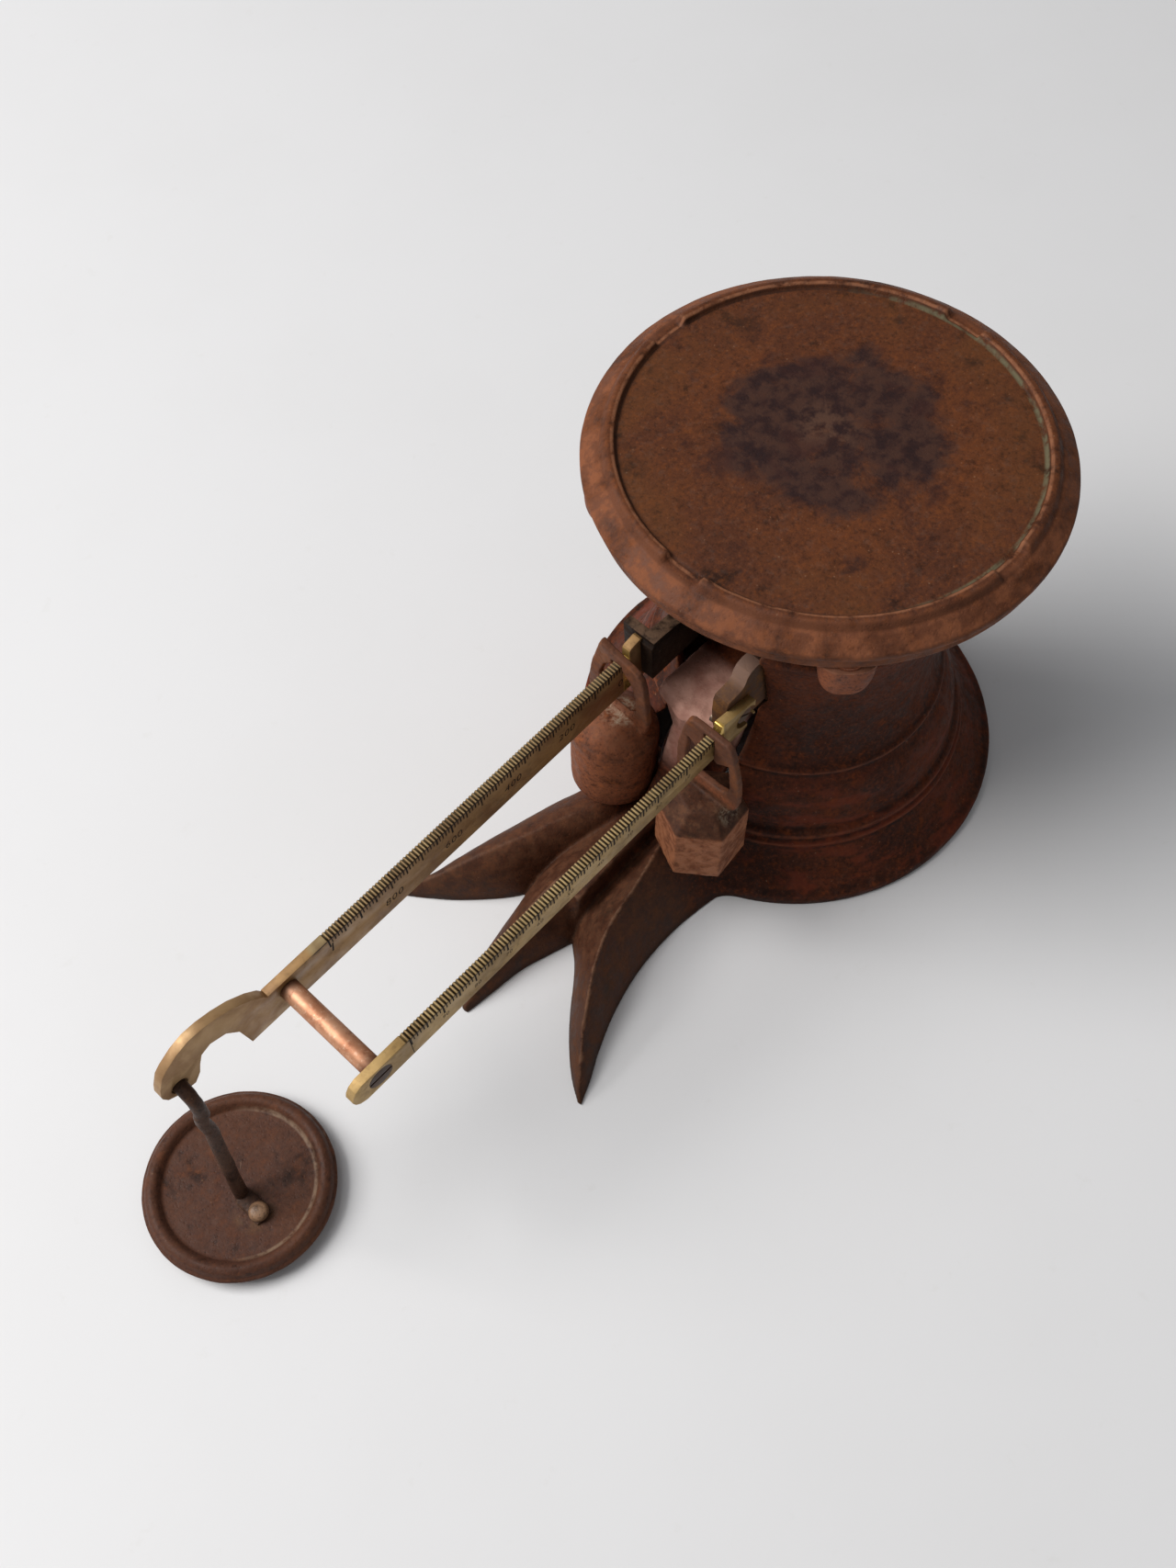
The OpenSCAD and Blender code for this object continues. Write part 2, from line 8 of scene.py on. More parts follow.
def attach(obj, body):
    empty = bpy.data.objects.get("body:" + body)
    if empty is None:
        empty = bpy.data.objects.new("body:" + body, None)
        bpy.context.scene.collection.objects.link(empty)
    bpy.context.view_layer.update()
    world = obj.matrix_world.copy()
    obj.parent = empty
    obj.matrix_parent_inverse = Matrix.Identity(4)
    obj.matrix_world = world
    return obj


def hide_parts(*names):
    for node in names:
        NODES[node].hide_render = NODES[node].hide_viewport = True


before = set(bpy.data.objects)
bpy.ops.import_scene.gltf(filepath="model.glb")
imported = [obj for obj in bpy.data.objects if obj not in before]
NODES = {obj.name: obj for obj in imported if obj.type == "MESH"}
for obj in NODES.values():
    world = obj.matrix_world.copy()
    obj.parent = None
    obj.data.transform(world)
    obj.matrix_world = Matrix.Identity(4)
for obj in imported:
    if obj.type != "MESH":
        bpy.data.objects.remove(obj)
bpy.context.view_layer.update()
TILT = math.radians(3.5)
CT, ST = math.cos(TILT), math.sin(TILT)
XF, ZF = -20 * CT, 164.7                     # fulcrum edge, millimetres

# ------------------------------------------------------------------ camera
f = Vector((0.3617, 0.3554, -0.8619)).normalized()
r = f.cross(Vector((0.6282, 0.5902, 0.507))).normalized()
u = r.cross(f).normalized()
cam_data = bpy.data.cameras.new("camera")
cam_data.lens = 38.87
cam_data.sensor_width = 36
cam_data.sensor_height = 36
cam_data.sensor_fit = "VERTICAL"
cam_data.clip_start = 0.01
cam = bpy.data.objects.new("camera", cam_data)
bpy.context.scene.collection.objects.link(cam)
cam.matrix_world = Matrix(((r.x, u.x, -f.x, -0.52748), (r.y, u.y, -f.y, -0.33302), (r.z, u.z, -f.z, 0.96052), (0, 0, 0, 1)))
bpy.context.scene.camera = cam

# ------------------------------------------------------------------ number helpers
RNG = np.random.default_rng(11)
LAT = (RNG.random((48, 48, 48)) * 2 - 1).astype(np.float32)


def vnoise(P, lam, off=0.0):
    """Smooth value noise in -1..1 at points P (N, 3), with a feature size of lam."""
    q = P / lam + off
    i = np.floor(q).astype(np.int64)
    t = q - i
    t = t * t * (3 - 2 * t)
    out = 0.0
    for a in (0, 1):
        for b in (0, 1):
            for c in (0, 1):
                w = (t[:, 0] if a else 1 - t[:, 0]) * (t[:, 1] if b else 1 - t[:, 1]) * (t[:, 2] if c else 1 - t[:, 2])
                out = out + w * LAT[(i[:, 0] + a) % 48, (i[:, 1] + b) % 48, (i[:, 2] + c) % 48]
    return out


def smin(a, b, k):
    h = np.clip(0.5 + 0.5 * (b - a) / k, 0, 1)
    return b + (a - b) * h - k * h * (1 - h)


def smax(a, b, k):
    return -smin(-a, -b, k)


def poly_sdf(X, Y, poly):
    """Signed distance (negative inside) of the points X, Y from a closed polygon."""
    d = np.full(X.shape, 1e9)
    inside = np.zeros(X.shape, bool)
    n = len(poly)
    for i in range(n):
        x0, y0 = poly[i]
        x1, y1 = poly[(i + 1) % n]
        ex, ey = x1 - x0, y1 - y0
        L = ex * ex + ey * ey
        if L < 1e-12:
            continue
        t = np.clip(((X - x0) * ex + (Y - y0) * ey) / L, 0, 1)
        d = np.minimum(d, (X - x0 - t * ex) ** 2 + (Y - y0 - t * ey) ** 2)
        if ey != 0:
            cross = ((y0 <= Y) != (y1 <= Y)) & (X < (Y - y0) / ey * ex + x0)
            inside ^= cross
    d = np.sqrt(d)
    return np.where(inside, -d, d)


def seg_dist(P, a, b):
    """Distance of the points P (three arrays) from the segment a-b."""
    ab = np.subtract(b, a)
    L = float((ab * ab).sum())
    t = np.clip(sum((P[i] - a[i]) * ab[i] for i in range(3)) / L, 0, 1)
    return np.sqrt(sum((P[i] - a[i] - t * ab[i]) ** 2 for i in range(3)))


def spline(pts, n=6):
    """Centripetal Catmull-Rom through the points, n steps each."""
    P = [np.array(p, float) for p in pts]
    P = [2 * P[0] - P[1]] + P + [2 * P[-1] - P[-2]]
    out = []
    for i in range(1, len(P) - 2):
        p0, p1, p2, p3 = P[i - 1:i + 3]
        t = [0.0]
        for a, b in ((p0, p1), (p1, p2), (p2, p3)):
            t.append(t[-1] + max(np.linalg.norm(b - a), 1e-6) ** 0.5)
        for s in np.linspace(t[1], t[2], n, endpoint=False):
            a1 = (t[1] - s) / (t[1] - t[0]) * p0 + (s - t[0]) / (t[1] - t[0]) * p1
            a2 = (t[2] - s) / (t[2] - t[1]) * p1 + (s - t[1]) / (t[2] - t[1]) * p2
            a3 = (t[3] - s) / (t[3] - t[2]) * p2 + (s - t[2]) / (t[3] - t[2]) * p3
            b1 = (t[2] - s) / (t[2] - t[0]) * a1 + (s - t[0]) / (t[2] - t[0]) * a2
            b2 = (t[3] - s) / (t[3] - t[1]) * a2 + (s - t[1]) / (t[3] - t[1]) * a3
            out.append((t[2] - s) / (t[2] - t[1]) * b1 + (s - t[1]) / (t[2] - t[1]) * b2)
    out.append(P[-2])
    return np.array(out)


# ------------------------------------------------------------------ mesh helpers
def link(obj):
    bpy.context.scene.collection.objects.link(obj)
    return obj


def build(name, V, faces, smooth=True, mm=True):
    """Mesh object from points (N, 3) and an array or a list of faces."""
    me = bpy.data.meshes.new(name)
    V = np.asarray(V, float) * (0.001 if mm else 1.0)
    if isinstance(faces, np.ndarray):
        me.vertices.add(len(V))
        me.vertices.foreach_set("co", V.astype(np.float32).ravel())
        me.loops.add(faces.size)
        me.loops.foreach_set("vertex_index", faces.astype(np.int32).ravel())
        me.polygons.add(len(faces))
        me.polygons.foreach_set("loop_start", np.arange(0, faces.size, faces.shape[1], dtype=np.int32))
        me.update(calc_edges=True)
        me.validate()
    else:
        me.from_pydata([tuple(v) for v in V], [], faces)
        me.update()
    me.polygons.foreach_set("use_smooth", [smooth] * len(me.polygons))
    return link(bpy.data.objects.new(name, me))


def applied(obj):
    """The same object with its modifiers turned into its mesh."""
    bpy.context.view_layer.update()
    dg = bpy.context.evaluated_depsgraph_get()
    me = bpy.data.meshes.new_from_object(obj.evaluated_get(dg))
    obj.modifiers.clear()
    obj.data = me
    return obj


def normals(V, Q):
    a, b, c, d = (V[Q[:, i]] for i in range(4))
    n = np.cross(c - a, d - b)
    N = np.zeros_like(V)
    for i in range(4):
        np.add.at(N, Q[:, i], n)
    return N / np.maximum(np.linalg.norm(N, axis=1, keepdims=True), 1e-9)


def surface(F, org, h):
    """Quad surface of the field F (negative inside) sampled at org + h * index."""
    s = F < 0
    c = np.zeros(tuple(n - 1 for n in F.shape), np.uint8)
    for a in (0, 1):
        for b in (0, 1):
            for g in (0, 1):
                c += s[a:F.shape[0] - 1 + a, b:F.shape[1] - 1 + b, g:F.shape[2] - 1 + g]
    cell = np.argwhere((c > 0) & (c < 8))
    idx = np.full(c.shape, -1, np.int32)
    idx[tuple(cell.T)] = np.arange(len(cell))
    corner = [(a, b, g) for a in (0, 1) for b in (0, 1) for g in (0, 1)]
    acc = np.zeros((len(cell), 3))
    cnt = np.zeros(len(cell))
    for p in corner:
        for ax in range(3):
            if p[ax]:
                continue
            q = list(p)
            q[ax] = 1
            A = F[cell[:, 0] + p[0], cell[:, 1] + p[1], cell[:, 2] + p[2]]
            B = F[cell[:, 0] + q[0], cell[:, 1] + q[1], cell[:, 2] + q[2]]
            m = (A < 0) != (B < 0)
            t = np.where(m, A / np.where(m, A - B, 1), 0)
            pos = np.tile(np.array(p, float), (len(cell), 1))
            pos[:, ax] += t
            acc[m] += pos[m]
            cnt[m] += 1
    V = np.array(org) + h * (cell + acc / cnt[:, None])
    quads = []
    for ax in range(3):
        o1, o2 = (ax + 1) % 3, (ax + 2) % 3
        lo = [slice(None)] * 3
        hi = [slice(None)] * 3
        lo[ax], hi[ax] = slice(0, -1), slice(1, None)
        e = np.argwhere(s[tuple(lo)] != s[tuple(hi)])
        e = e[(e[:, o1] > 0) & (e[:, o2] > 0) & (e[:, o1] < F.shape[o1] - 1) & (e[:, o2] < F.shape[o2] - 1)]
        ins = s[tuple(e.T)]

        def at(d1, d2):
            k = e.copy()
            k[:, o1] += d1
            k[:, o2] += d2
            return idx[tuple(k.T)]
        q = np.stack([at(-1, -1), at(0, -1), at(0, 0), at(-1, 0)], 1)
        q[~ins] = q[~ins][:, ::-1]
        quads.append(q)
    Q = np.concatenate(quads)
    Q = Q[(Q >= 0).all(1)]
    return V, Q


def sample(F, org, h, P):
    q = (P - np.array(org)) / h
    q = np.clip(q, 0.0, np.array(F.shape) - 1.001)
    i = np.floor(q).astype(np.int64)
    t = q - i
    out = 0.0
    for a in (0, 1):
        for b in (0, 1):
            for c in (0, 1):
                w = (t[:, 0] if a else 1 - t[:, 0]) * (t[:, 1] if b else 1 - t[:, 1]) * (t[:, 2] if c else 1 - t[:, 2])
                out = out + w * F[i[:, 0] + a, i[:, 1] + b, i[:, 2] + c]
    return out


def cast(name, F, org, h, rough=(), keep=None, flat_z=None):
    """Object of the field's surface, pulled onto the field, with a rough cast skin on it."""
    V, Q = surface(F, org, h)
    for _ in range(2):
        v = sample(F, org, h, V)
        g = np.stack([sample(F, org, h, V + d) - sample(F, org, h, V - d) for d in np.eye(3) * h * 0.7], 1) / (1.4 * h)
        gg = (g * g).sum(1)
        ok = gg > 0.3
        step = np.clip(v / np.maximum(gg, 0.3), -0.4 * h, 0.4 * h)
        V[ok] -= (g * step[:, None])[ok]
    if rough:
        N = normals(V, Q)
        d = sum(a * vnoise(V, lam, 3.1 * k) for k, (a, lam) in enumerate(rough))
        if flat_z is not None:
            d = d * np.clip((V[:, 2] - flat_z) / 4, 0, 1)
        V = V + N * d[:, None]
    if flat_z is not None:
        V[:, 2] = np.where(V[:, 2] < flat_z + 0.35 * h, flat_z, V[:, 2])
    obj = build(name, V, Q)
    if keep and keep < 1:
        m = obj.modifiers.new("thin", "DECIMATE")
        m.ratio = keep
        applied(obj)
        obj.data.polygons.foreach_set("use_smooth", [True] * len(obj.data.polygons))
    return obj


def grid(lo, hi, h):
    n = [int(math.ceil((b - a) / h)) + 1 for a, b in zip(lo, hi)]
    return [lo[i] + h * np.arange(n[i]) for i in range(3)]


def lathe(name, prof, seg, centre=(0, 0), shape=None, closed=False):
    """Turned piece: prof is (r, z) from the bottom axis round to the top axis. shape(r, z, angle) may move points."""
    prof = np.asarray(prof, float)
    a = np.arange(seg) * 2 * math.pi / seg
    R = np.repeat(prof[:, 0][:, None], seg, 1)
    Z = np.repeat(prof[:, 1][:, None], seg, 1)
    A = np.repeat(a[None], len(prof), 0)
    if shape:
        R, Z = shape(R, Z, A)
    V = np.stack([centre[0] + R * np.cos(A), centre[1] + R * np.sin(A), Z], 2).reshape(-1, 3)
    m = len(prof)
    i, j = np.meshgrid(np.arange(m - 1), np.arange(seg), indexing="ij")
    q = np.stack([i * seg + j, i * seg + (j + 1) % seg, (i + 1) * seg + (j + 1) % seg, (i + 1) * seg + j], -1).reshape(-1, 4)
    faces = [tuple(map(int, x)) for x in q]
    if not closed:
        faces += [tuple(range(seg))[::-1], tuple(range((m - 1) * seg, m * seg))]
    return build(name, V, faces)


def tube(name, path, radii, seg=28, cap=True, wob=0.0):
    """Rod along a path; radii are numbers or (a, b) pairs across the path's frame."""
    P = np.asarray(path, float)
    T = np.gradient(P, axis=0)
    T /= np.linalg.norm(T, axis=1, keepdims=True)
    n = np.array([1.0, 0, 0]) if abs(T[0][0]) < 0.9 else np.array([0, 1.0, 0])
    n -= T[0] * (n @ T[0])
    n /= np.linalg.norm(n)
    V, faces = [], []
    a = np.arange(seg) * 2 * math.pi / seg
    for k in range(len(P)):
        n = n - T[k] * (n @ T[k])
        n /= np.linalg.norm(n)
        b = np.cross(T[k], n)
        ra, rb = (radii[k], radii[k]) if np.isscalar(radii[k]) else radii[k]
        ring = P[k] + np.outer(np.cos(a) * ra, n) + np.outer(np.sin(a) * rb, b)
        if wob:
            ring += (ring - P[k]) * (wob * vnoise(ring, 4.0, 0.7))[:, None] / max(ra, rb)
        V.append(ring)
    for k in range(len(P) - 1):
        for j in range(seg):
            j2 = (j + 1) % seg
            faces.append((k * seg + j, k * seg + j2, (k + 1) * seg + j2, (k + 1) * seg + j))
    if cap:
        faces.append(tuple(range(seg))[::-1])
        faces.append(tuple(range((len(P) - 1) * seg, len(P) * seg)))
    return build(name, np.concatenate(V), faces)


def softened(node, name, width=0.25, seg=2, angle=25):
    """A copy of a CAD node with its sharp edges rounded, as a piece that stands for the node."""
    src = NODES[node]
    me = src.data.copy()
    me.name = name
    me.materials.clear()
    obj = link(bpy.data.objects.new(name, me))
    bm = bmesh.new()
    bm.from_mesh(me)
    bmesh.ops.remove_doubles(bm, verts=bm.verts, dist=2e-6)
    bmesh.ops.dissolve_limit(bm, angle_limit=math.radians(0.8), verts=bm.verts, edges=bm.edges)
    bm.to_mesh(me)
    bm.free()
    m = obj.modifiers.new("round", "BEVEL")
    m.width = width * 0.001
    m.segments = seg
    m.limit_method = "ANGLE"
    m.angle_limit = math.radians(angle)
    m.use_clamp_overlap = True
    m.harden_normals = False
    applied(obj)
    me = obj.data
    me.polygons.foreach_set("use_smooth", [True] * len(me.polygons))
    me.set_sharp_from_angle(angle=math.radians(35))
    return obj


# ------------------------------------------------------------------ materials
class Mat:
    def __init__(self, name, slot):
        self.m = bpy.data.materials.new(name)
        self.slot = slot
        self.m.use_nodes = True
        self.t = self.m.node_tree
        self.t.nodes.clear()
        self.out = self.t.nodes.new("ShaderNodeOutputMaterial")
        self.b = self.t.nodes.new("ShaderNodeBsdfPrincipled")
        self.t.links.new(self.b.outputs[0], self.out.inputs[0])
        self.co = self.t.nodes.new("ShaderNodeTexCoord").outputs["Object"]
        self.geo = self.t.nodes.new("ShaderNodeNewGeometry")

    def put(self, socket, v):
        if hasattr(v, "is_linked") or hasattr(v, "links"):
            self.t.links.new(v, socket)
        elif isinstance(v, (tuple, list)) and len(v) == 3 and socket.type == "RGBA":
            socket.default_value = (*v, 1)
        else:
            socket.default_value = v

    def node(self, kind, ins=(), **attr):
        n = self.t.nodes.new(kind)
        for k, v in attr.items():
            setattr(n, k, v)
        for k, v in dict(ins).items():
            self.put(n.inputs[k], v)
        return n

    def noise(self, size, detail=6, rough=0.55, dist=0.0, co=None, w=None):
        """Noise with features of size millimetres."""
        n = self.node("ShaderNodeTexNoise", {"Scale": 1000.0 / size / 1.6, "Detail": detail, "Roughness": rough, "Distortion": dist,
                                             "Vector": co if co is not None else self.co})
        return n.outputs["Fac"]

    def voronoi(self, size, rand=1.0, feature="F1", co=None):
        n = self.node("ShaderNodeTexVoronoi", {"Scale": 1000.0 / size, "Randomness": rand, "Vector": co if co is not None else self.co})
        n.feature = feature
        return n.outputs["Distance"]

    def ramp(self, fac, stops, interp="LINEAR"):
        n = self.node("ShaderNodeValToRGB", {"Fac": fac})
        e = n.color_ramp.elements
        n.color_ramp.interpolation = interp
        while len(e) < len(stops):
            e.new(0.5)
        for k, (p, c) in enumerate(stops):
            e[k].position = p
            e[k].color = (c, c, c, 1) if np.isscalar(c) else (*c, 1)
        return n.outputs["Color"]

    def step(self, v, a, b, lo=0.0, hi=1.0):
        n = self.node("ShaderNodeMapRange", {"Value": v, "From Min": a, "From Max": b, "To Min": lo, "To Max": hi}, interpolation_type="SMOOTHSTEP")
        return n.outputs["Result"]

    def mix(self, fac, a, b, blend="MIX"):
        n = self.t.nodes.new("ShaderNodeMix")
        n.data_type = "RGBA"
        n.blend_type = blend
        self.put(n.inputs[0], fac)
        self.put(n.inputs[6], a)
        self.put(n.inputs[7], b)
        return n.outputs[2]

    def math(self, op, a, b=0.0, c=0.0):
        n = self.t.nodes.new("ShaderNodeMath")
        n.operation = op
        self.put(n.inputs[0], a)
        self.put(n.inputs[1], b)
        self.put(n.inputs[2], c)
        return n.outputs[0]

    def mul(self, *v):
        out = v[0]
        for x in v[1:]:
            out = self.math("MULTIPLY", out, x)
        return out

    def add(self, a, b):
        return self.math("ADD", a, b)

    def along(self, d, o=0.0):
        """Millimetres along the direction d, less o."""
        n = self.node("ShaderNodeVectorMath", {0: self.co, 1: tuple(1000.0 * x for x in d)}, operation="DOT_PRODUCT")
        return self.math("SUBTRACT", n.outputs["Value"], o)

    def facing(self, d):
        """How far the surface's own normal points along d, in the piece's rest frame (-1..1)."""
        n = self.node("ShaderNodeTexCoord")
        v = self.node("ShaderNodeVectorMath", {0: n.outputs["Normal"], 1: d}, operation="DOT_PRODUCT")
        return v.outputs["Value"]

    def radius(self, cx=0.0, cy=0.0):
        """Distance in millimetres from an upright axis."""
        s = self.node("ShaderNodeVectorMath", {0: self.co, 1: (cx / 1000, cy / 1000, 0)}, operation="SUBTRACT")
        m = self.node("ShaderNodeVectorMath", {0: s.outputs[0], 1: (1000, 1000, 0)}, operation="MULTIPLY")
        v = self.node("ShaderNodeVectorMath", {0: m.outputs[0]}, operation="LENGTH")
        return v.outputs["Value"]

    def bump(self, h, mm, normal=None, strength=1.0):
        n = self.node("ShaderNodeBump", {"Height": h, "Distance": mm / 1000, "Strength": strength})
        if normal is not None:
            self.t.links.new(normal, n.inputs["Normal"])
        return n.outputs[0]

    def done(self, color, rough, normal=None, metallic=0.0, spec=0.5, coat=0.0):
        self.put(self.b.inputs["Base Color"], color)
        self.put(self.b.inputs["Roughness"], rough)
        self.put(self.b.inputs["Metallic"], metallic)
        self.b.inputs["Specular IOR Level"].default_value = spec
        if normal is not None:
            self.t.links.new(normal, self.b.inputs["Normal"])
        return self


def srgb(r_, g_, b_):
    return tuple((c / 255 / 12.92) if c / 255 <= 0.04045 else ((c / 255 + 0.055) / 1.055) ** 2.4 for c in (r_, g_, b_))


def iron(name, slot, tones, orange=0.5, grit=1.0, rough=(0.5, 0.78), bump=1.0, extra=None, seed=0.0, spec=0.14, dust=0.06, worn=0.55):
    """Rusty cast iron. tones: dark, mid, warm, orange, worn edge, as colours."""
    m = Mat(name, slot)
    dark, mid, warm, hot, edge = tones
    mp = m.node("ShaderNodeMapping", {"Vector": m.co, "Location": (seed, seed * 0.7, seed * 1.3)}).outputs[0]
    big = m.noise(58, 5, 0.6, 0.4, mp)
    midn = m.noise(17, 6, 0.62, 0.3, mp)
    small = m.noise(5.5, 6, 0.65, 0.2, mp)
    fine = m.noise(1.5, 5, 0.7, 0.0, mp)
    c = m.mix(m.step(big, 0.36, 0.62), mid, warm)
    c = m.mix(m.mul(m.step(midn, 0.56, 0.72), 0.85), c, dark)
    c = m.mix(m.mul(m.step(small, 0.53, 0.70), m.step(midn, 0.30, 0.62), orange), c, hot)
    c = m.mix(m.mul(m.step(small, 0.46, 0.30), 0.55), c, dark)
    c = m.mix(m.mul(m.step(fine, 0.50, 0.68), 0.40 * grit), c, hot)
    c = m.mix(m.mul(m.step(fine, 0.48, 0.34), 0.60 * grit), c, dark)
    # polished and dusty ridges, and painted shade in the hollows
    pt = m.geo.outputs["Pointiness"]
    e = m.mul(m.step(m.add(pt, m.math("MULTIPLY", m.math("SUBTRACT", small, 0.5), 0.035)), 0.520, 0.575), worn)
    c = m.mix(e, c, edge)
    # painted shade: concave places (low pointiness) are darkened, standing in for shade in hollows
    c = m.mix(m.mul(m.step(pt, 0.480, 0.43), 0.65), c, tuple(x * 0.45 for x in dark))
    # pale dust lying on what faces up
    up = m.step(m.facing((0, 0, 1)), 0.35, 1.0)
    d = m.mul(up, m.step(m.noise(3.2, 4, 0.7, 0, mp), 0.50, 0.70), dust)
    c = m.mix(d, c, (0.30, 0.24, 0.20))
    spk = m.mul(m.step(m.voronoi(4.2, 1.0, co=mp), 0.16, 0.07), m.step(fine, 0.5, 0.62), 0.30 * grit)
    c = m.mix(spk, c, (0.42, 0.30, 0.20))
    if extra:
        c = extra(m, c, dict(big=big, mid=midn, small=small, fine=fine))
    pits = m.step(m.voronoi(2.6, 1.0, co=mp), 0.05, 0.34)
    h = m.add(m.mul(fine, 0.5), m.add(m.mul(m.noise(0.7, 3, 0.6, 0, mp), 0.25), m.mul(pits, 0.35)))
    n1 = m.bump(m.noise(9, 5, 0.55, 0.2, mp), 0.55 * bump, strength=0.9)
    n2 = m.bump(h, 0.34 * bump, n1, strength=0.9)
    rg = m.add(m.mul(m.step(small, 0.35, 0.65), rough[1] - rough[0]), rough[0])
    m.done(c, rg, n2, spec=spec)
    return m


RUST = (srgb(28, 14, 9), srgb(62, 31, 20), srgb(86, 42, 23), srgb(126, 62, 28), srgb(132, 84, 58))
RUST_PLATE = (srgb(38, 22, 15), srgb(80, 45, 29), srgb(94, 52, 29), srgb(132, 72, 32), srgb(138, 92, 66))
DARK = (srgb(24, 14, 10), srgb(56, 34, 24), srgb(68, 42, 29), srgb(104, 60, 34), srgb(124, 90, 70))
POISE = (srgb(34, 19, 13), srgb(102, 60, 42), srgb(128, 76, 50), srgb(152, 86, 48), srgb(142, 108, 92))
MAUVE = srgb(134, 92, 84)


def on_pedestal(m, c, n):
    z = m.along((0, 0, 1))
    x = m.along((1, 0, 0))
    y = m.math("ABSOLUTE", m.along((0, 1, 0)))
    # pinkish deck and front of the pillar: partly the casting's own pale tone, partly painted light on this front
    deck = m.mul(m.step(x, -64, -76), m.step(y, 30, 22), m.step(z, 84, 108))
    c = m.mix(m.mul(deck, m.math("MULTIPLY_ADD", m.step(n["small"], 0.72, 0.40), 0.35, 0.62)), c, m.mix(m.step(n["mid"], 0.38, 0.66), srgb(190, 146, 130), srgb(158, 110, 96)))
    # the claw foot is browner and smoother
    foot = m.mul(m.step(x, -128, -165), m.step(z, 70, 50))
    c = m.mix(m.mul(foot, 0.62), c, m.mix(m.step(n["small"], 0.4, 0.62), srgb(66, 44, 32), srgb(90, 62, 44)))
    # painted highlight: a light sheen along the claw's sharp ridges
    ridge = m.mul(foot, m.step(m.geo.outputs["Pointiness"], 0.512, 0.545), m.step(z, 8, 20))
    c = m.mix(m.mul(ridge, m.step(n["small"], 0.34, 0.56), 0.30), c, srgb(140, 108, 86))
    # warm red-brown streaks low on the bell
    bell = m.mul(m.step(x, -128, -100), m.step(z, 96, 60))
    st = m.node("ShaderNodeMapping", {"Vector": m.co, "Scale": (1, 1, 4.5)}).outputs[0]
    c = m.mix(m.mul(bell, m.step(m.noise(26, 5, 0.6, 0.3, st), 0.46, 0.62), 0.55), c, srgb(118, 52, 32))
    # darker in the turned grooves of the bell, lighter on its beads
    ringed = m.step(x, -132, -122)
    for zc, w_, amt in ((44.8, 1.0, 0.75), (37.0, 0.9, 0.85), (31.0, 0.9, 0.65), (84.0, 1.0, 0.75), (90.8, 1.0, 0.6), (8.2, 0.9, 0.7)):
        dz = m.math("ABSOLUTE", m.math("SUBTRACT", z, zc))
        c = m.mix(m.mul(ringed, m.step(dz, w_ * 1.6, w_ * 0.5), m.step(n["small"], 0.64, 0.36), amt * 0.8), c, srgb(22, 12, 8))
    for zc, w_ in ((40.6, 1.4), (34.2, 1.0), (87.4, 1.3)):
        dz = m.math("ABSOLUTE", m.math("SUBTRACT", z, zc))
        c = m.mix(m.mul(ringed, m.step(dz, w_ * 1.2, w_ * 0.4), m.step(n["small"], 0.34, 0.58), 0.5), c, srgb(126, 72, 50))
    # darker close to the table
    c = m.mix(m.mul(m.step(z, 7, 1.5), 0.6), c, srgb(38, 25, 19))
    return c


def on_plate(m, c, n):
    rad = m.radius()
    # dark irregular stain in the middle, like a ragged ring
    wob = m.add(m.radius(5, 4), m.math("MULTIPLY", m.math("SUBTRACT", m.noise(40, 5, 0.62, 0.8), 0.5), 92))
    off = m.radius(6, 8)
    ring = m.mul(m.step(wob, 66, 50), m.step(m.noise(15, 6, 0.62, 0.4), 0.24, 0.50))
    c = m.mix(m.mul(ring, 0.88), c, m.mix(m.step(n["small"], 0.4, 0.6), srgb(38, 26, 28), srgb(62, 42, 36)))
    mid = m.mul(m.step(off, 24, 6), m.step(n["small"], 0.4, 0.62))
    c = m.mix(m.mul(mid, 0.35), c, srgb(104, 76, 60))
    # olive tinge far out on the floor, warmer at the bevel
    c = m.mix(m.mul(m.step(rad, 70, 110), m.step(rad, 116, 112), m.step(n["big"], 0.42, 0.6), 0.22), c, srgb(84, 60, 34))
    c = m.mix(m.mul(m.step(rad, 112, 70), m.step(n["mid"], 0.52, 0.66), 0.5), c, srgb(64, 36, 30))
    c = m.mix(m.mul(m.step(rad, 117, 122), m.math("MULTIPLY_ADD", m.step(n["mid"], 0.62, 0.44), 0.55, 0.15)), c, m.mix(m.step(n["small"], 0.42, 0.60), srgb(112, 68, 47), srgb(140, 86, 58)))
    c = m.mix(m.mul(m.step(rad, 119, 121), m.step(rad, 123.6, 122), m.step(n["small"], 0.36, 0.6), 0.5), c, srgb(62, 36, 25))
    # painted shade: a dark line at the foot of the raised arcs; painted highlight: light on their crests; and
    # grey-green dust mostly on one side
    ang = m.along((0.7, -0.7, 0))
    arc_foot_shade = m.mul(m.step(rad, 112.4, 113.6), m.step(rad, 115.4, 114.7))
    c = m.mix(m.mul(arc_foot_shade, m.step(n["small"], 0.34, 0.58), 0.65), c, srgb(56, 34, 24))
    # painted highlight on the arcs' crests
    arc_crest_highlight = m.mul(m.step(rad, 115.0, 115.6), m.step(rad, 117.6, 116.4))
    c = m.mix(m.mul(arc_crest_highlight, m.step(n["small"], 0.34, 0.60), 0.65), c, srgb(150, 100, 72))
    gap = m.mul(m.step(rad, 111.8, 113.0), m.step(rad, 115.0, 114.2), m.step(ang, 10, 70))
    c = m.mix(m.mul(gap, m.step(n["small"], 0.38, 0.60), 0.7), c, srgb(108, 104, 80))
    return c


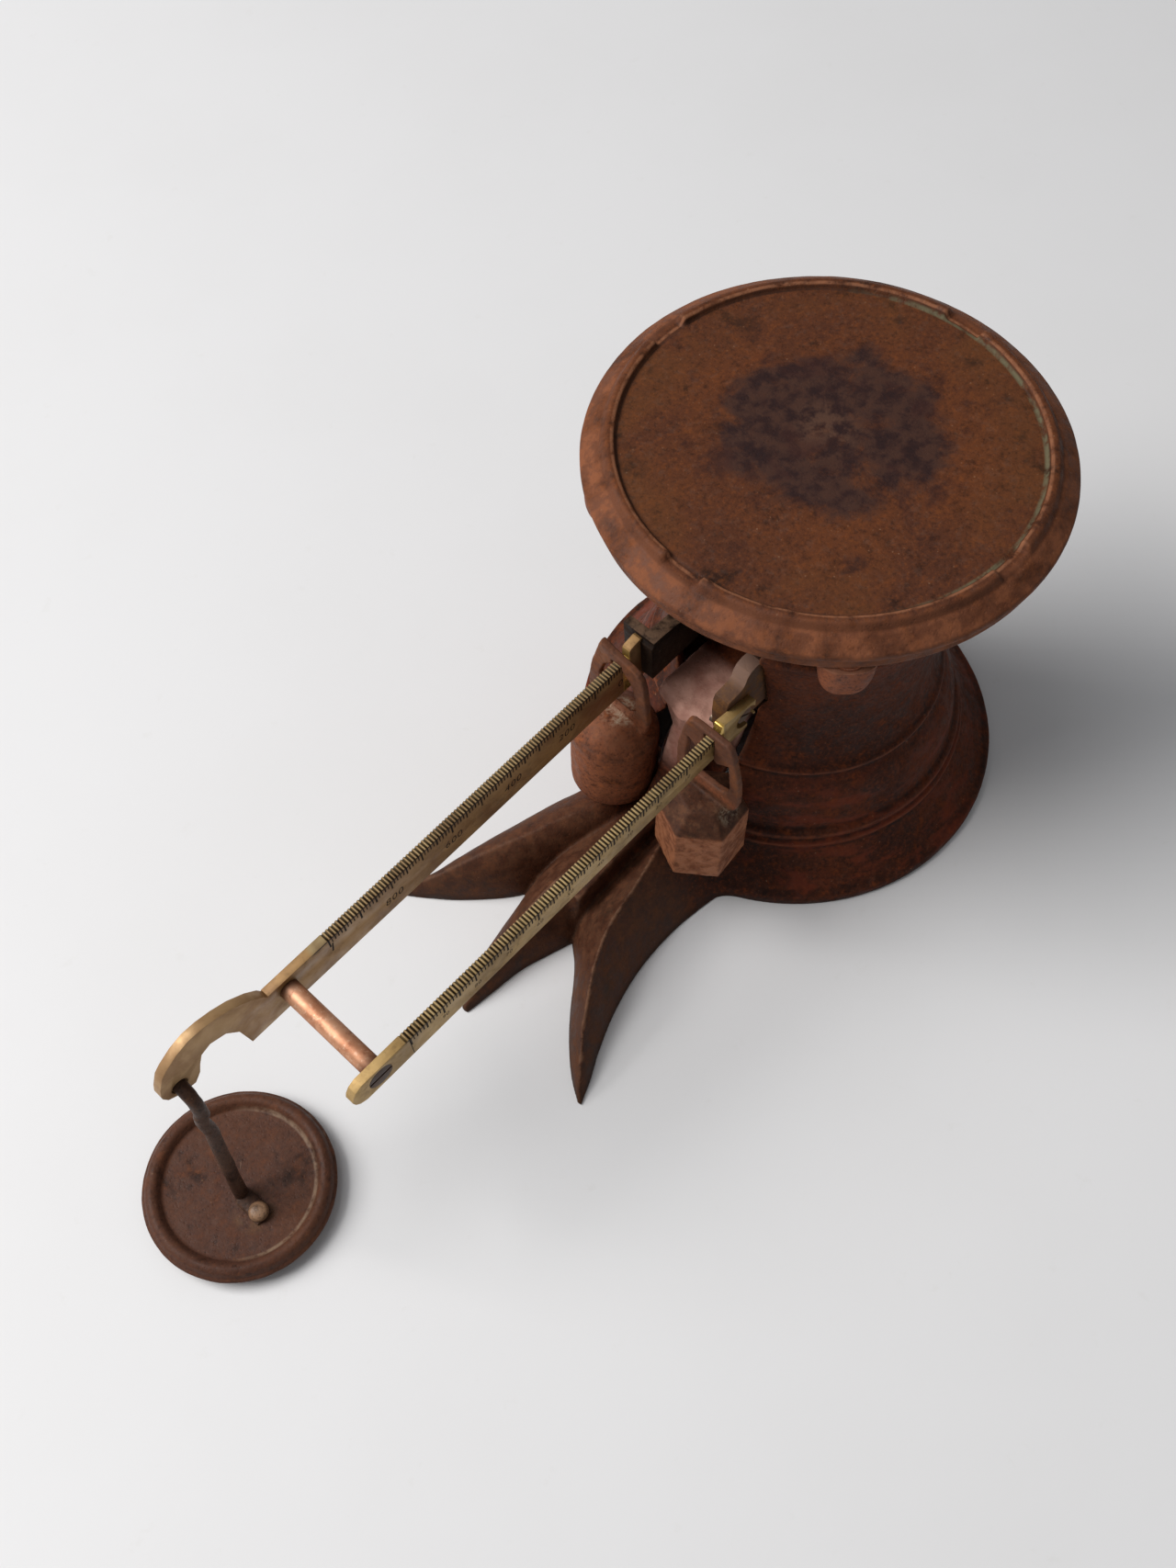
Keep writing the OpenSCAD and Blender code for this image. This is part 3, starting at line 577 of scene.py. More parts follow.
def on_lever(m, c, n):
    y = m.along((0, 1, 0))
    p = m.along((CT, 0, ST), XF * CT + ZF * ST)
    q = m.along((-ST, 0, CT), -XF * ST + ZF * CT)
    top = m.step(m.facing((-0.35, 0, 0.94)), 0.25, 0.75)
    # the right cheek is worn to golden brown; its up-facing top is painted lighter, pale pinkish grey, as painted light
    right = m.mul(m.step(y, -5, -15), m.step(p, -44, -52))
    c = m.mix(m.mul(right, 0.75), c, m.mix(m.step(n["small"], 0.42, 0.64), srgb(92, 64, 46), srgb(124, 84, 48)))
    # painted light: the top faces of the right cheek are lighter
    c = m.mix(m.mul(right, top, m.step(q, 20, 25), 0.8), c, srgb(140, 112, 98))
    # dusty top of the left cheek
    left = m.mul(m.step(y, 5, 15), m.step(p, -40, -60), m.step(m.facing((0, 0, 1)), 0.6, 0.95))
    return m.mix(m.mul(left, m.step(n["small"], 0.36, 0.60), 0.75), c, srgb(104, 80, 62))


def grit_feet(cx, cy, z0, z1, rr):
    def f_(m, c, n):
        z = m.along((0, 0, 1))
        band = m.mul(m.step(z, z0 - 6, z0), m.step(z, z1 + 4, z1), m.step(m.radius(cx, cy), rr + 5, rr))
        return m.mix(m.mul(band, m.step(n["fine"], 0.40, 0.60), m.step(n["small"], 0.38, 0.56), 0.8), c, srgb(150, 134, 114))
    return f_


def loop_tint(z_from, cx, cy, fz0, fz1, fr):
    grit = grit_feet(cx, cy, fz0, fz1, fr)

    def f_(m, c, n):
        z = m.along((0, 0, 1))
        up = m.step(z, z_from, z_from + 8)
        c = m.mix(m.mul(up, 0.65), c, m.mix(m.step(n["mid"], 0.5, 0.62), srgb(80, 56, 45), srgb(116, 72, 44)))
        return grit(m, c, n)
    return f_


def left_weight_tint(m, c, n):
    z = m.along((0, 0, 1))
    rad = m.radius(-128.6, 35.5)
    line = m.mul(m.step(z, 104.5, 107), m.step(z, 112.5, 109.5), m.step(rad, 17, 20))
    c = m.mix(m.mul(line, m.step(n["small"], 0.66, 0.40), 0.38), c, srgb(34, 20, 14))
    dome = m.mul(m.step(z, 110, 114), m.step(z, 122, 118))
    c = m.mix(m.mul(dome, m.step(n["small"], 0.40, 0.62), 0.55), c, srgb(128, 84, 62))
    return loop_tint(124, -125, 35, 117, 119.5, 9)(m, c, n)


def right_weight_tint(m, c, n):
    z = m.along((0, 0, 1))
    rad = m.radius(-129, -35.5)
    taper = m.mul(m.step(z, 95.5, 98), m.step(z, 116, 110))
    c = m.mix(m.mul(m.step(z, 97.5, 95.5), m.step(n["small"], 0.66, 0.40), 0.75), c, srgb(172, 112, 78))
    c = m.mix(m.mul(taper, 0.72), c, m.mix(m.step(n["small"], 0.45, 0.62), srgb(48, 32, 24), srgb(84, 60, 44)))
    # painted highlight: the hexagon's sharp edges below the taper are lightened
    pt = m.geo.outputs["Pointiness"]
    c = m.mix(m.mul(m.step(pt, 0.54, 0.60), m.step(z, 100, 97), 0.45), c, srgb(176, 132, 104))
    return loop_tint(116, -126, -52, 103, 106, 5)(m, c, n)


def disc_lit_ring_and_pale_centre(m, c, n):
    rad = m.radius(-458, 21)
    ang = m.along((0.75, -0.66, 0), -458 * 0.75 - 21 * 0.66)
    # painted light: a pale ring on one side of the rim's inner slope, the side that faces the lamp
    ring = m.mul(m.step(rad, 42.4, 43.6), m.step(rad, 46.0, 44.6), m.step(ang, -10, 22))
    c = m.mix(m.mul(ring, m.step(n["small"], 0.34, 0.60), 0.7), c, srgb(138, 116, 96))
    return m.mix(m.mul(m.step(m.radius(-463, 2), 15, 6), m.step(n["small"], 0.4, 0.62), 0.5), c, srgb(118, 92, 66))


def brass(name="brass_aged"):
    m = Mat(name, "brass")
    p = m.along((CT, 0, ST), XF * CT + ZF * ST)
    q = m.along((-ST, 0, CT), -XF * ST + ZF * CT)
    big, small, fine = m.noise(22, 5, 0.6, 0.3), m.noise(4.5, 5, 0.65, 0.2), m.noise(1.2, 4, 0.7)
    right = m.step(m.along((0, 1, 0)), 5, -5)
    base = m.mix(right, srgb(160, 124, 78), srgb(182, 150, 96))
    c = m.mix(m.step(big, 0.40, 0.64), base, m.mix(right, srgb(126, 92, 56), srgb(144, 114, 66)))
    c = m.mix(m.mul(m.step(small, 0.55, 0.70), 0.45), c, srgb(96, 74, 46))
    c = m.mix(m.mul(m.step(fine, 0.56, 0.70), 0.30), c, srgb(84, 66, 42))
    # goose-neck: matte gold and tan
    neck = m.step(p, -366, -380)
    c = m.mix(m.mul(neck, m.step(right, 0.6, 0.4)), c, m.mix(m.step(big, 0.42, 0.6), srgb(176, 142, 100), srgb(150, 114, 76)))
    # copper blush near the right end of the left beam
    c = m.mix(m.mul(m.step(p, -150, -118), m.step(right, 0.6, 0.4), m.step(q, 4, -4), 0.6), c, srgb(128, 74, 42))
    # patina in the notches, painted shade in a band just below them, worn crests
    span = m.mul(m.step(p, -345, -341), m.step(p, -101.5, -104))
    low = m.mul(span, m.step(q, 10.85, 10.2), m.step(q, 9.2, 9.6))
    top = m.step(m.facing((-ST, 0, CT)), 0.5, 0.9)
    c = m.mix(m.mul(low, 0.97), c, srgb(24, 18, 12))
    # painted shade: a darker band under the notches, where the notch ends shade the face
    c = m.mix(m.mul(m.step(q, 9.4, 8.6), m.step(q, 7.2, 8.2), span, m.step(small, 0.4, 0.6), 0.35), c, srgb(84, 66, 40))
    c = m.mix(m.mul(span, top, m.step(q, 10.8, 10.95), 0.75), c, m.mix(m.step(big, 0.4, 0.62), srgb(158, 140, 102), srgb(116, 94, 64)))
    # painted shade: the lower edge and hidden sides, the faces turned down, are darker
    c = m.mix(m.mul(m.step(m.facing((ST, 0, -CT)), 0.3, 0.8), 0.5), c, srgb(92, 72, 48))
    # bright polished tail step
    tail = m.mul(m.step(p, -106.0, -103.5), m.step(p, -98.5, -100))
    c = m.mix(tail, c, srgb(236, 196, 104))
    pt = m.geo.outputs["Pointiness"]
    c = m.mix(m.mul(m.step(pt, 0.54, 0.62), 0.15), c, srgb(206, 186, 138))
    nrm = m.bump(m.add(m.mul(small, 0.6), m.mul(fine, 0.4)), 0.10, strength=0.8)
    rg = m.add(m.mul(m.step(small, 0.35, 0.65), 0.18), m.math("MULTIPLY_ADD", tail, -0.22, 0.40))
    m.done(c, rg, nrm, metallic=m.math("MULTIPLY_ADD", tail, 0.35, 0.45), spec=0.5)
    return m


def copper():
    m = Mat("copper_rod", "copper")
    y = m.math("ABSOLUTE", m.along((0, 1, 0)))
    small, big = m.noise(4, 5, 0.65, 0.3), m.noise(14, 5, 0.6)
    c = m.mix(m.step(big, 0.42, 0.62), srgb(212, 158, 124), srgb(186, 126, 92))
    c = m.mix(m.mul(m.step(small, 0.54, 0.70), 0.6), c, srgb(132, 78, 52))
    c = m.mix(m.mul(m.step(m.noise(1.6, 4, 0.7), 0.54, 0.66), 0.5), c, srgb(232, 196, 168))
    c = m.mix(m.mul(m.step(y, 24, 32), 0.75), c, srgb(70, 44, 32))
    # painted shade: the rod's underside is darker
    c = m.mix(m.mul(m.step(m.facing((0.3, 0, -1)), -0.2, 0.7), 0.5), c, srgb(84, 50, 36))
    m.done(c, m.add(m.mul(small, 0.2), 0.38), m.bump(small, 0.12), metallic=0.5)
    return m


def steel(name, slot, tone, rough=0.42, rusty=0.35, metallic=0.7):
    m = Mat(name, slot)
    small, fine = m.noise(5, 5, 0.65, 0.3), m.noise(1.2, 4, 0.7)
    c = m.mix(m.mul(m.step(small, 0.45, 0.64), rusty), tone, srgb(104, 66, 44))
    c = m.mix(m.mul(m.step(fine, 0.52, 0.68), 0.35), c, tuple(x * 0.35 for x in tone))
    m.done(c, m.add(m.mul(small, 0.25), rough - 0.1), m.bump(m.add(m.mul(small, 0.5), m.mul(fine, 0.5)), 0.10), metallic=metallic)
    return m


M_PED = iron("rusty_casting", "iron_rust", RUST, 0.55, extra=on_pedestal, seed=0.0)
M_PLATE = iron("rusty_plate", "iron_plate", RUST_PLATE, 0.32, grit=0.75, extra=on_plate, seed=0.31, dust=0.05, worn=0.45)
M_DARK = iron("dark_iron", "iron_dark", DARK, 0.35, seed=0.55, rough=(0.45, 0.7))
M_DISC = iron("disc_iron", "iron_dark", (srgb(34, 21, 16), srgb(78, 50, 39), srgb(88, 56, 41), srgb(122, 72, 44), srgb(134, 106, 88)), 0.4, grit=0.5, seed=0.73,
              rough=(0.42, 0.66), extra=disc_lit_ring_and_pale_centre, dust=0.04, worn=0.4)
M_ROD = iron("rod_iron", "iron_dark", (srgb(28, 18, 14), srgb(62, 43, 34), srgb(78, 55, 43), srgb(100, 66, 45), srgb(130, 102, 84)), 0.25, seed=0.9, rough=(0.36, 0.6), bump=0.7)
# painted shade: the lever's tones are near black, standing in for the shade it sits in inside the pedestal
M_LEVER = iron("lever_iron", "iron_lever", (srgb(9, 6, 4), srgb(22, 13, 9), srgb(30, 19, 12), srgb(60, 37, 20), srgb(110, 84, 64)), 0.35, seed=1.2, worn=0.12, extra=on_lever)
M_LP = iron("poise_iron_left", "iron_poise", POISE, 0.5, seed=1.5, extra=left_weight_tint)
M_RP = iron("poise_iron_right", "iron_poise", POISE, 0.55, seed=1.8, extra=right_weight_tint)
M_HEAD = iron("screw_head_iron", "screw", (srgb(56, 40, 30), srgb(124, 96, 74), srgb(140, 108, 82), srgb(150, 106, 74), srgb(190, 164, 138)), 0.25, seed=2.6, rough=(0.35, 0.55), spec=0.3)
# painted light: the boss iron is lighter than the casting, standing in for light that reaches the bosses and spider
# under the plate
M_BOSS = iron("boss_iron", "iron_dark", (srgb(48, 26, 18), srgb(122, 72, 52), srgb(138, 82, 56), srgb(168, 96, 56), srgb(160, 112, 88)), 0.4, seed=2.1)
M_BRASS = brass()
M_COPPER = copper()
M_STEEL = steel("hardened_steel", "steel", srgb(120, 116, 110))
M_SCREW = steel("tarnished_screw", "screw", srgb(112, 96, 82), rusty=0.6)
M_SCREWB = steel("tarnished_brass_screw", "brass", srgb(62, 42, 30), rusty=0.4, rough=0.55, metallic=0.2)
M_LEAD = steel("dull_lead", "lead", srgb(98, 98, 102), rough=0.6, rusty=0.15, metallic=0.5)
M_INK = Mat("filled_marks", "brass")
M_INK.done(M_INK.mix(M_INK.step(M_INK.noise(1.6, 4, 0.7), 0.4, 0.66), srgb(22, 15, 9), srgb(52, 38, 22)), 0.6, spec=0.1)


def finish_piece(obj, mat, body, *nodes, slot=None):
    obj.data.materials.clear()
    obj.data.materials.append(mat.m)
    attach(obj, body)
    if nodes:
        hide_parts(*nodes)
    return obj


# ------------------------------------------------------------------ pedestal: bell, pillar, keel and claw foot in one casting
bell_out = [[135.8, 0], [135.8, 5], [134.6, 7.4], [131.2, 8.6], [129.3, 9.8], [124, 15], [118.5, 21.5], [114.3, 27.6],
            [112.2, 30.6], [111.9, 32.0], [112.4, 33.4], [111.8, 35.4], [110.0, 36.4], [109.4, 37.2], [110.0, 38.6], [109.9, 41.2], [108.4, 43.2],
            [106.0, 44.2], [105.0, 46.5], [104.5, 49], [104, 55], [102.6, 63], [99.8, 71], [95.8, 78], [92.8, 81.6], [91.4, 83.8],
            [91.6, 85.4], [92.6, 86.8], [92.0, 88.8], [89.8, 90.4], [87, 95], [84.6, 102], [83.2, 110], [82.6, 120], [82.8, 132],
            [84, 146], [86, 160], [88.6, 174], [91.2, 186], [93.6, 194], [96.2, 198.5], [97, 202], [95.6, 205], [92.5, 206]]
bell_in = [[89.5, 206], [88, 200], [85, 188], [82.5, 174], [80, 160], [78, 146], [76.8, 132], [76.6, 120], [77.2, 110],
           [78.6, 102], [81, 94], [86, 84], [93, 70], [97, 60], [98, 50], [101, 42], [104.5, 32], [112, 20], [120, 12],
           [126, 6.5], [129.5, 0]]
WIN_WIDE = [[22, 48], [46, 48], [45.4, 57], [38.7, 71], [32.6, 80], [30, 90], [30, 104], [33, 114], [36, 122], [36, 150], [22, 150]]
WIN = [[22, 48], [41, 48], [40, 57], [34, 71], [28.5, 80], [26, 90], [26, 104], [27, 114], [28, 122], [29, 134], [34, 147], [34, 155], [22, 155]]


def toe_height(X, Y, rows, dome):
    """Height of one toe. rows: x, outer edge y, inner edge y, ridge y, ridge z, from the tip back."""
    R = np.array(sorted(rows, key=lambda v: v[0]), float)
    xs = R[:, 0]
    fine_x = np.linspace(xs[0], xs[-1], 200)

    def curve(k):
        c = spline(R[:, [0, k]], 10)
        return np.interp(X, c[:, 0], c[:, 1])
    yo, yi, yr, zr = (curve(k) for k in (1, 2, 3, 4))
    out = np.where((Y - yr) * (yo - yr) > 0, (Y - yr) / np.where(np.abs(yo - yr) < 0.5, np.sign(yo - yr) * 0.5, yo - yr),
                   (Y - yr) / np.where(np.abs(yi - yr) < 0.5, np.sign(yi - yr) * 0.5, yi - yr))
    s = np.abs(out)
    a, p_ = dome
    g = 1 - (1 - a) * s - a * s ** p_
    slope = (1 - a) + a * p_
    g = np.where(s > 1, -(s - 1) * slope, g)
    hgt = zr * g
    hgt = np.minimum(hgt, zr[:1].min() * 0 + hgt)
    tip = xs[0]
    return np.where(X < tip, np.minimum(hgt, 0) - (tip - X) * 1.2, hgt)


RIGHT_TOE = [(-287, -86.5, -82, -84, 4), (-281, -83.8, -72.5, -78.5, 10), (-272, -79.8, -61.5, -71.5, 17), (-259, -72.8, -48.5, -61, 26),
             (-246, -66.8, -37.5, -52.5, 34), (-238, -63.4, -31.5, -47.5, 40), (-224, -58.6, -19.5, -40, 43.5), (-214, -55.8, -8, -35.5, 45),
             (-200, -52.8, 2, -31, 46), (-180, -50.6, 8, -27, 46.5), (-160, -50.4, 10, -22, 46.5), (-130, -54, 12, -14, 46), (-100, -61, 12, -12, 46)]
MID_TOE = [(-292, 10.5, 4.5, 7.5, 4), (-286, 14, 4, 8.5, 9), (-270, 22, 2.5, 11, 19), (-250, 27, 0.5, 13, 29), (-230, 31, -5, 13, 38),
           (-214, 35, -10, 12, 44), (-200, 38, -14, 11, 46), (-180, 42, -18, 8, 47.5), (-160, 42, -18, 4, 49), (-130, 42, -18, 0, 49), (-100, 42, -18, 0, 49)]
LEFT_TOE = [(-265, 97, 92.5, 95, 4), (-258, 94.5, 82.5, 89, 10), (-244, 87.5, 65, 77, 21), (-228, 83.5, 49, 66, 32), (-213, 80, 37, 57, 39),
            (-195, 76.5, 28, 48, 43), (-175, 72, 18, 40, 45.5), (-156, 68, 10, 32, 46.5), (-141, 63, 5, 27, 46.5), (-120, 60, 0, 24, 46), (-100, 60, 0, 24, 46)]

H = 1.25
gx, gy, gz = grid((-297, -141, -4), (141, 141, 211), H)
X2, Y2 = np.meshgrid(gx, gy, indexing="ij")
rr2 = np.sqrt(X2 ** 2 + Y2 ** 2)
rt = np.arange(0, 330, 0.5)
RT, ZT = np.meshgrid(rt, gz, indexing="ij")
prof_out = [tuple(p) for p in spline(bell_out, 5)]
prof_in = [tuple(p) for p in spline(bell_in, 4)]
bell_tab = poly_sdf(RT, ZT, prof_out + prof_in)
hole_tab = poly_sdf(RT, ZT, [(0, -40), (129.5, -40), (129.5, 0)] + prof_in[::-1] + [(0, 206)])
hR = toe_height(X2, Y2, RIGHT_TOE, (0.34, 3.2))
hM = toe_height(X2, Y2, MID_TOE, (0.45, 3.0))
hL = toe_height(X2, Y2, LEFT_TOE, (0.80, 2.6))
hc = smax(smax(hR, hM, 3.5), hL, 4)
# the left toe's rows reversed, and its inner edge across the grid; neither is used further
R_ = np.array(LEFT_TOE, float)[::-1]
yi_ = np.interp(X2, np.array(LEFT_TOE)[:, 0], np.array(LEFT_TOE)[:, 2])
gxh, gyh = np.gradient(hc, H, H)
grad = np.sqrt(1 + np.minimum(gxh ** 2 + gyh ** 2, 12.0))
# how far the front of the pillar stands back from its outline, by height
DECK_Z = [88, 118, 128, 130.6, 131.4, 132.2, 133.0, 134.6, 136.0, 136.6, 137.2, 138.4, 139.6, 142]
DECK_OFF = [1.2, 1.4, 1.6, 1.8, 1.7, 0.9, -0.2, -0.6, 0.0, 1.1, 1.3, 1.5, 3.6, 3.9]
nl = math.hypot(22, 6.5)
front_plane = np.maximum(-(X2 + 106) * 22 / nl + (Y2 - 22) * 6.5 / nl, -(X2 + 106) * 22 / nl + (-Y2 - 22) * 6.5 / nl)
SHIELD = [[-22, 145], [-22, 136], [-6.6, 116], [-6.6, 90], [6.6, 90], [6.6, 116], [22, 136], [22, 145]]
KEEL = [[-88, 118], [-112, 118], [-117, 102], [-123, 80], [-132, 66], [-152, 58], [-182, 48.5], [-205, 42], [-205, 0], [-88, 0]]
win2 = None
F = np.empty((len(gx), len(gy), len(gz)), np.float32)
front = X2 < -40
absY = np.abs(Y2)
wy = np.arange(0, 142, 0.5)
shield_y = np.arange(-60, 60.5, 0.5)
keel_x = gx
for k, z in enumerate(gz):
    bell = np.interp(rr2, rt, bell_tab[:, k])
    hole = np.interp(rr2, rt, hole_tab[:, k])
    claw = np.maximum(np.maximum((z - hc) / grad, -z), X2 + 84)
    zz = np.full(wy.shape, z)
    w1 = np.minimum(poly_sdf(wy, zz, WIN), np.maximum(wy - np.clip(29 + (zz - 134) * 0.38, 29, 34.5), 140 - zz))
    w2 = np.minimum(poly_sdf(wy, zz, WIN_WIDE), np.maximum(wy - 36, 140 - zz))
    wcut = np.where(Y2 > 0, np.interp(absY, wy, w2), np.interp(absY, wy, w1))
    b = np.where(front, smax(bell, -wcut, 1.2), bell)
    kx = poly_sdf(keel_x, np.full(keel_x.shape, z), KEEL)[:, None]
    keel = smax(np.maximum(kx, -200) + 0 * Y2, absY - 6.6, 3.0)
    foot = smin(claw, keel, 7.0)
    foot = np.maximum(foot, -hole)
    d = smin(b, foot, 7.0)
    sh = np.interp(Y2, shield_y, poly_sdf(shield_y, np.full(shield_y.shape, z), SHIELD))
    # front of the pillar: chamfer, groove and bead under the deck's edge
    nose = np.interp(z, DECK_Z, DECK_OFF)
    pil = smax(np.maximum(smax(absY - 22, front_plane + nose, 0.8), X2 + 71), sh, 1.5)
    pil = smax(pil, z - 140, 0.5)
    pil = np.where(z < 88, 99, pil)
    d = smin(d, pil, 2.0)
    if 105 < z < 146:
        under = np.interp(X2, [-90, -72, -60, -24], [110, 110, 127, 130])
        d = np.minimum(d, np.maximum(np.maximum(absY - 22, np.maximum(X2 + 24, -80 - X2)), np.maximum(z - 140, (under - z) * 0.8)))
    if 126 < z < 152:
        led = np.maximum(np.maximum(np.abs(X2 - XF) - 12, 56 - absY), np.maximum(rr2 - 79.5, max(128 - z, z - 150)))
        d = np.minimum(d, led)
    if 28 < z < 46:
        led = np.maximum(np.maximum(np.abs(X2 - XF) - 10, 80 - absY), np.maximum(rr2 - 106, max(30 - z, z - 44)))
        d = np.minimum(d, led)
    F[:, :, k] = np.maximum(d, -z)
ped = cast("pedestal_casting", F, (gx[0], gy[0], gz[0]), H, rough=((0.22, 34), (0.16, 11), (0.09, 4.5)), keep=0.29, flat_z=0.0)
finish_piece(ped, M_PED, "pedestal_body", "pedestal", "claw_foot")
del F

# ------------------------------------------------------------------ plate
Z0 = 277.0
rim = [[0.5, 270], [60, 270], [110, 270], [120, 269.4], [124, 267.5], [126.6, 264.8], [127.2, 256], [127.8, 255.1], [129.4, 255.0], [130.2, 255.8],
       [130.4, 262.2], [131.6, 263.4], [132.9, 264.6], [133.35, 266.0], [133.35, 267.6], [132.9, 268.8], [131.6, 269.8], [128.5, 272.2], [124.8, 274.9], [122.4, 276.0],
       [121.4, 276.3], [120.9, 276.35], [120.3, 276.4], [119.4, 276.4], [118.2, 276.4], [117.0, 276.4], [116.1, 276.4], [115.5, 276.4], [115.0, 276.4], [114.5, 276.4], [113.8, 276.5],
       [113.0, 276.9], [111.5, 277.0], [108, 277.0]] + [[v, 277.0] for v in (100, 90, 80, 70, 60, 50, 40, 30, 20, 12, 6, 2, 0.5)]
rim_fine = []
for i_, (a_, b_) in enumerate(zip(rim[:-1], rim[1:])):
    n_ = max(1, int(math.hypot(b_[0] - a_[0], b_[1] - a_[1]) / (0.8 if i_ > 3 and b_[0] > 112 else 5)))
    for t_ in range(n_):
        rim_fine.append([a_[0] + (b_[0] - a_[0]) * t_ / n_, a_[1] + (b_[1] - a_[1]) * t_ / n_])
rim_fine.append(rim[-1])


def plate_shape(R, Z, A):
    P = np.stack([R * np.cos(A), R * np.sin(A), Z], -1).reshape(-1, 3)
    deg = np.degrees(A) % 90
    wavy = (0.7 * vnoise(P, 9, 2.0)).reshape(R.shape)
    end = np.minimum(deg, 90 - deg)
    gate = np.clip((end - 5.2 + 0.25 * wavy) / 0.55, 0, 1)
    gate = gate * gate * (3 - 2 * gate)
    top = np.interp(R + 0.25 * wavy, [113.6, 114.3, 115.2, 116.6, 118.4, 120.0, 121.4, 122.6], [0, 1.5, 3.1, 3.8, 3.8, 3.2, 1.7, 0])
    # the ends of the arcs stand a little proud, worn by use
    proud = 0.35 * np.exp(-((end - 7.5) / 2.2) ** 2)
    Z = Z + np.where(Z > 275.5, gate * top * (1 + proud * 0.5) * (1 + 0.05 * wavy), 0)
    lump = (0.18 * vnoise(P, 26, 0.0) + 0.10 * vnoise(P, 8, 1.0) + 0.05 * vnoise(P, 3.5, 5.0)).reshape(R.shape)
    Z = Z + np.where(R > 1, lump, 0) * np.where(Z > 268, 1, 0.3)
    R = R + np.where((R > 124) & (Z < 274), lump * 0.8, 0)
    return R, Z


plate = lathe("platform_plate", rim_fine, 540, shape=plate_shape)
finish_piece(plate, M_PLATE, "platform", "plate")

# spider boss that shows below the plate, with the arms under it: the same solid with rounded edges
spider = softened("platform_spider", "spider_arms", 0.8, 3, 28)
finish_piece(spider, M_BOSS, "platform", "platform_spider")

for k_ in range(4):
    a_ = math.radians(45 + 90 * k_)
    ca_, sa_ = math.cos(a_), math.sin(a_)

    def boss_shape(R, Z, A, a_=a_):
        g = np.cos(A - a_)
        P = np.stack([R * np.cos(A), R * np.sin(A), Z], -1).reshape(-1, 3)
        return R * (15.5 - 5.2 * g ** 2) / 15.5 + 0.25 * vnoise(P, 6, 0.9 * a_).reshape(R.shape) * (R > 2), Z
    bs = lathe("spider_boss_%d" % k_, spline([[0.4, 224.8], [5, 225.2], [9, 227.2], [12, 230.4], [13.8, 235], [14.8, 241], [15.2, 247], [15.4, 252.2]], 4) .tolist() + [[0.4, 252.2]],
               56, centre=(121.3 * ca_, 121.3 * sa_), shape=boss_shape)
    finish_piece(bs, M_BOSS, "platform")

# ------------------------------------------------------------------ poises
BY = 35.5


def loop_field(Xg, Yg, Zg, ex_, cy, ez_, outline, window, thick, lean=2.0):
    """Flat iron loop across the beam, measured from the pivot edge, with rounded rims."""
    c_, s_ = math.cos(math.radians(lean)), math.sin(math.radians(lean))
    dx, dz = Xg - ex_, Zg - ez_
    lx = dx * c_ + dz * s_                      # the loop leans forward at the top
    lz = -dx * s_ + dz * c_
    ly = Yg - cy
    yy = np.arange(-30, 30.01, 0.3)
    zz = np.arange(-70, 20.01, 0.3)
    YY, ZZ = np.meshgrid(yy, zz, indexing="ij")
    tab = np.maximum(poly_sdf(YY, ZZ, outline), -poly_sdf(YY, ZZ, window))
    iy = np.clip((ly + 30) / 0.3, 0, len(yy) - 1.001)
    iz = np.clip((lz + 70) / 0.3, 0, len(zz) - 1.001)
    i0, k0 = np.floor(iy).astype(int), np.floor(iz).astype(int)
    ty, tz = iy - i0, iz - k0
    d2 = (tab[i0, k0] * (1 - ty) * (1 - tz) + tab[i0 + 1, k0] * ty * (1 - tz) + tab[i0, k0 + 1] * (1 - ty) * tz + tab[i0 + 1, k0 + 1] * ty * tz)
    rd = 1.3
    a_, b_ = d2 + rd, np.abs(lx) - thick / 2 + rd
    return np.minimum(np.maximum(a_, b_), 0) + np.hypot(np.maximum(a_, 0), np.maximum(b_, 0)) - rd


def both(hh):
    return hh + [[-p[0], p[1]] for p in hh[::-1]]


def edge_at(p, q=11.25):
    return XF + p * CT - q * ST, ZF + p * ST + q * CT


LX, LZ = edge_at(-105.4)
RX, RZ = edge_at(-106.46)
hp = 0.6
OUT_L = [[16, -63], [21.5, -52], [23.4, -42], [22.8, -30], [20.4, -16], [17.2, -4], [14.4, 6], [12.4, 11.6], [9.5, 10.4], [3, 8.2],
         [-4, 6.9], [-11, 5.4], [-16, 3.2], [-19.2, -0.6], [-20.8, -7], [-21.8, -18], [-22.8, -30], [-23.4, -42], [-21.5, -52], [-16, -63]]
WIN_L = both([[6.5, -47], [11.5, -43.4], [14, -35], [14, -22], [10, -9.6], [3.7, -3], [3.5, 0.7]])
OUT_R = both([[16, -66], [21.4, -57], [23.4, -48.5], [23.6, -38], [22.9, -28], [20.2, -14.4], [18, -3.4], [15.8, 3.2], [13, 5.2], [6, 5.6]])
WIN_R = both([[8, -47.4], [13.6, -45.4], [16.4, -41], [16.2, -30], [14.8, -14.4], [6.6, -20.8], [3.5, -18.5], [3.5, 0.7]])

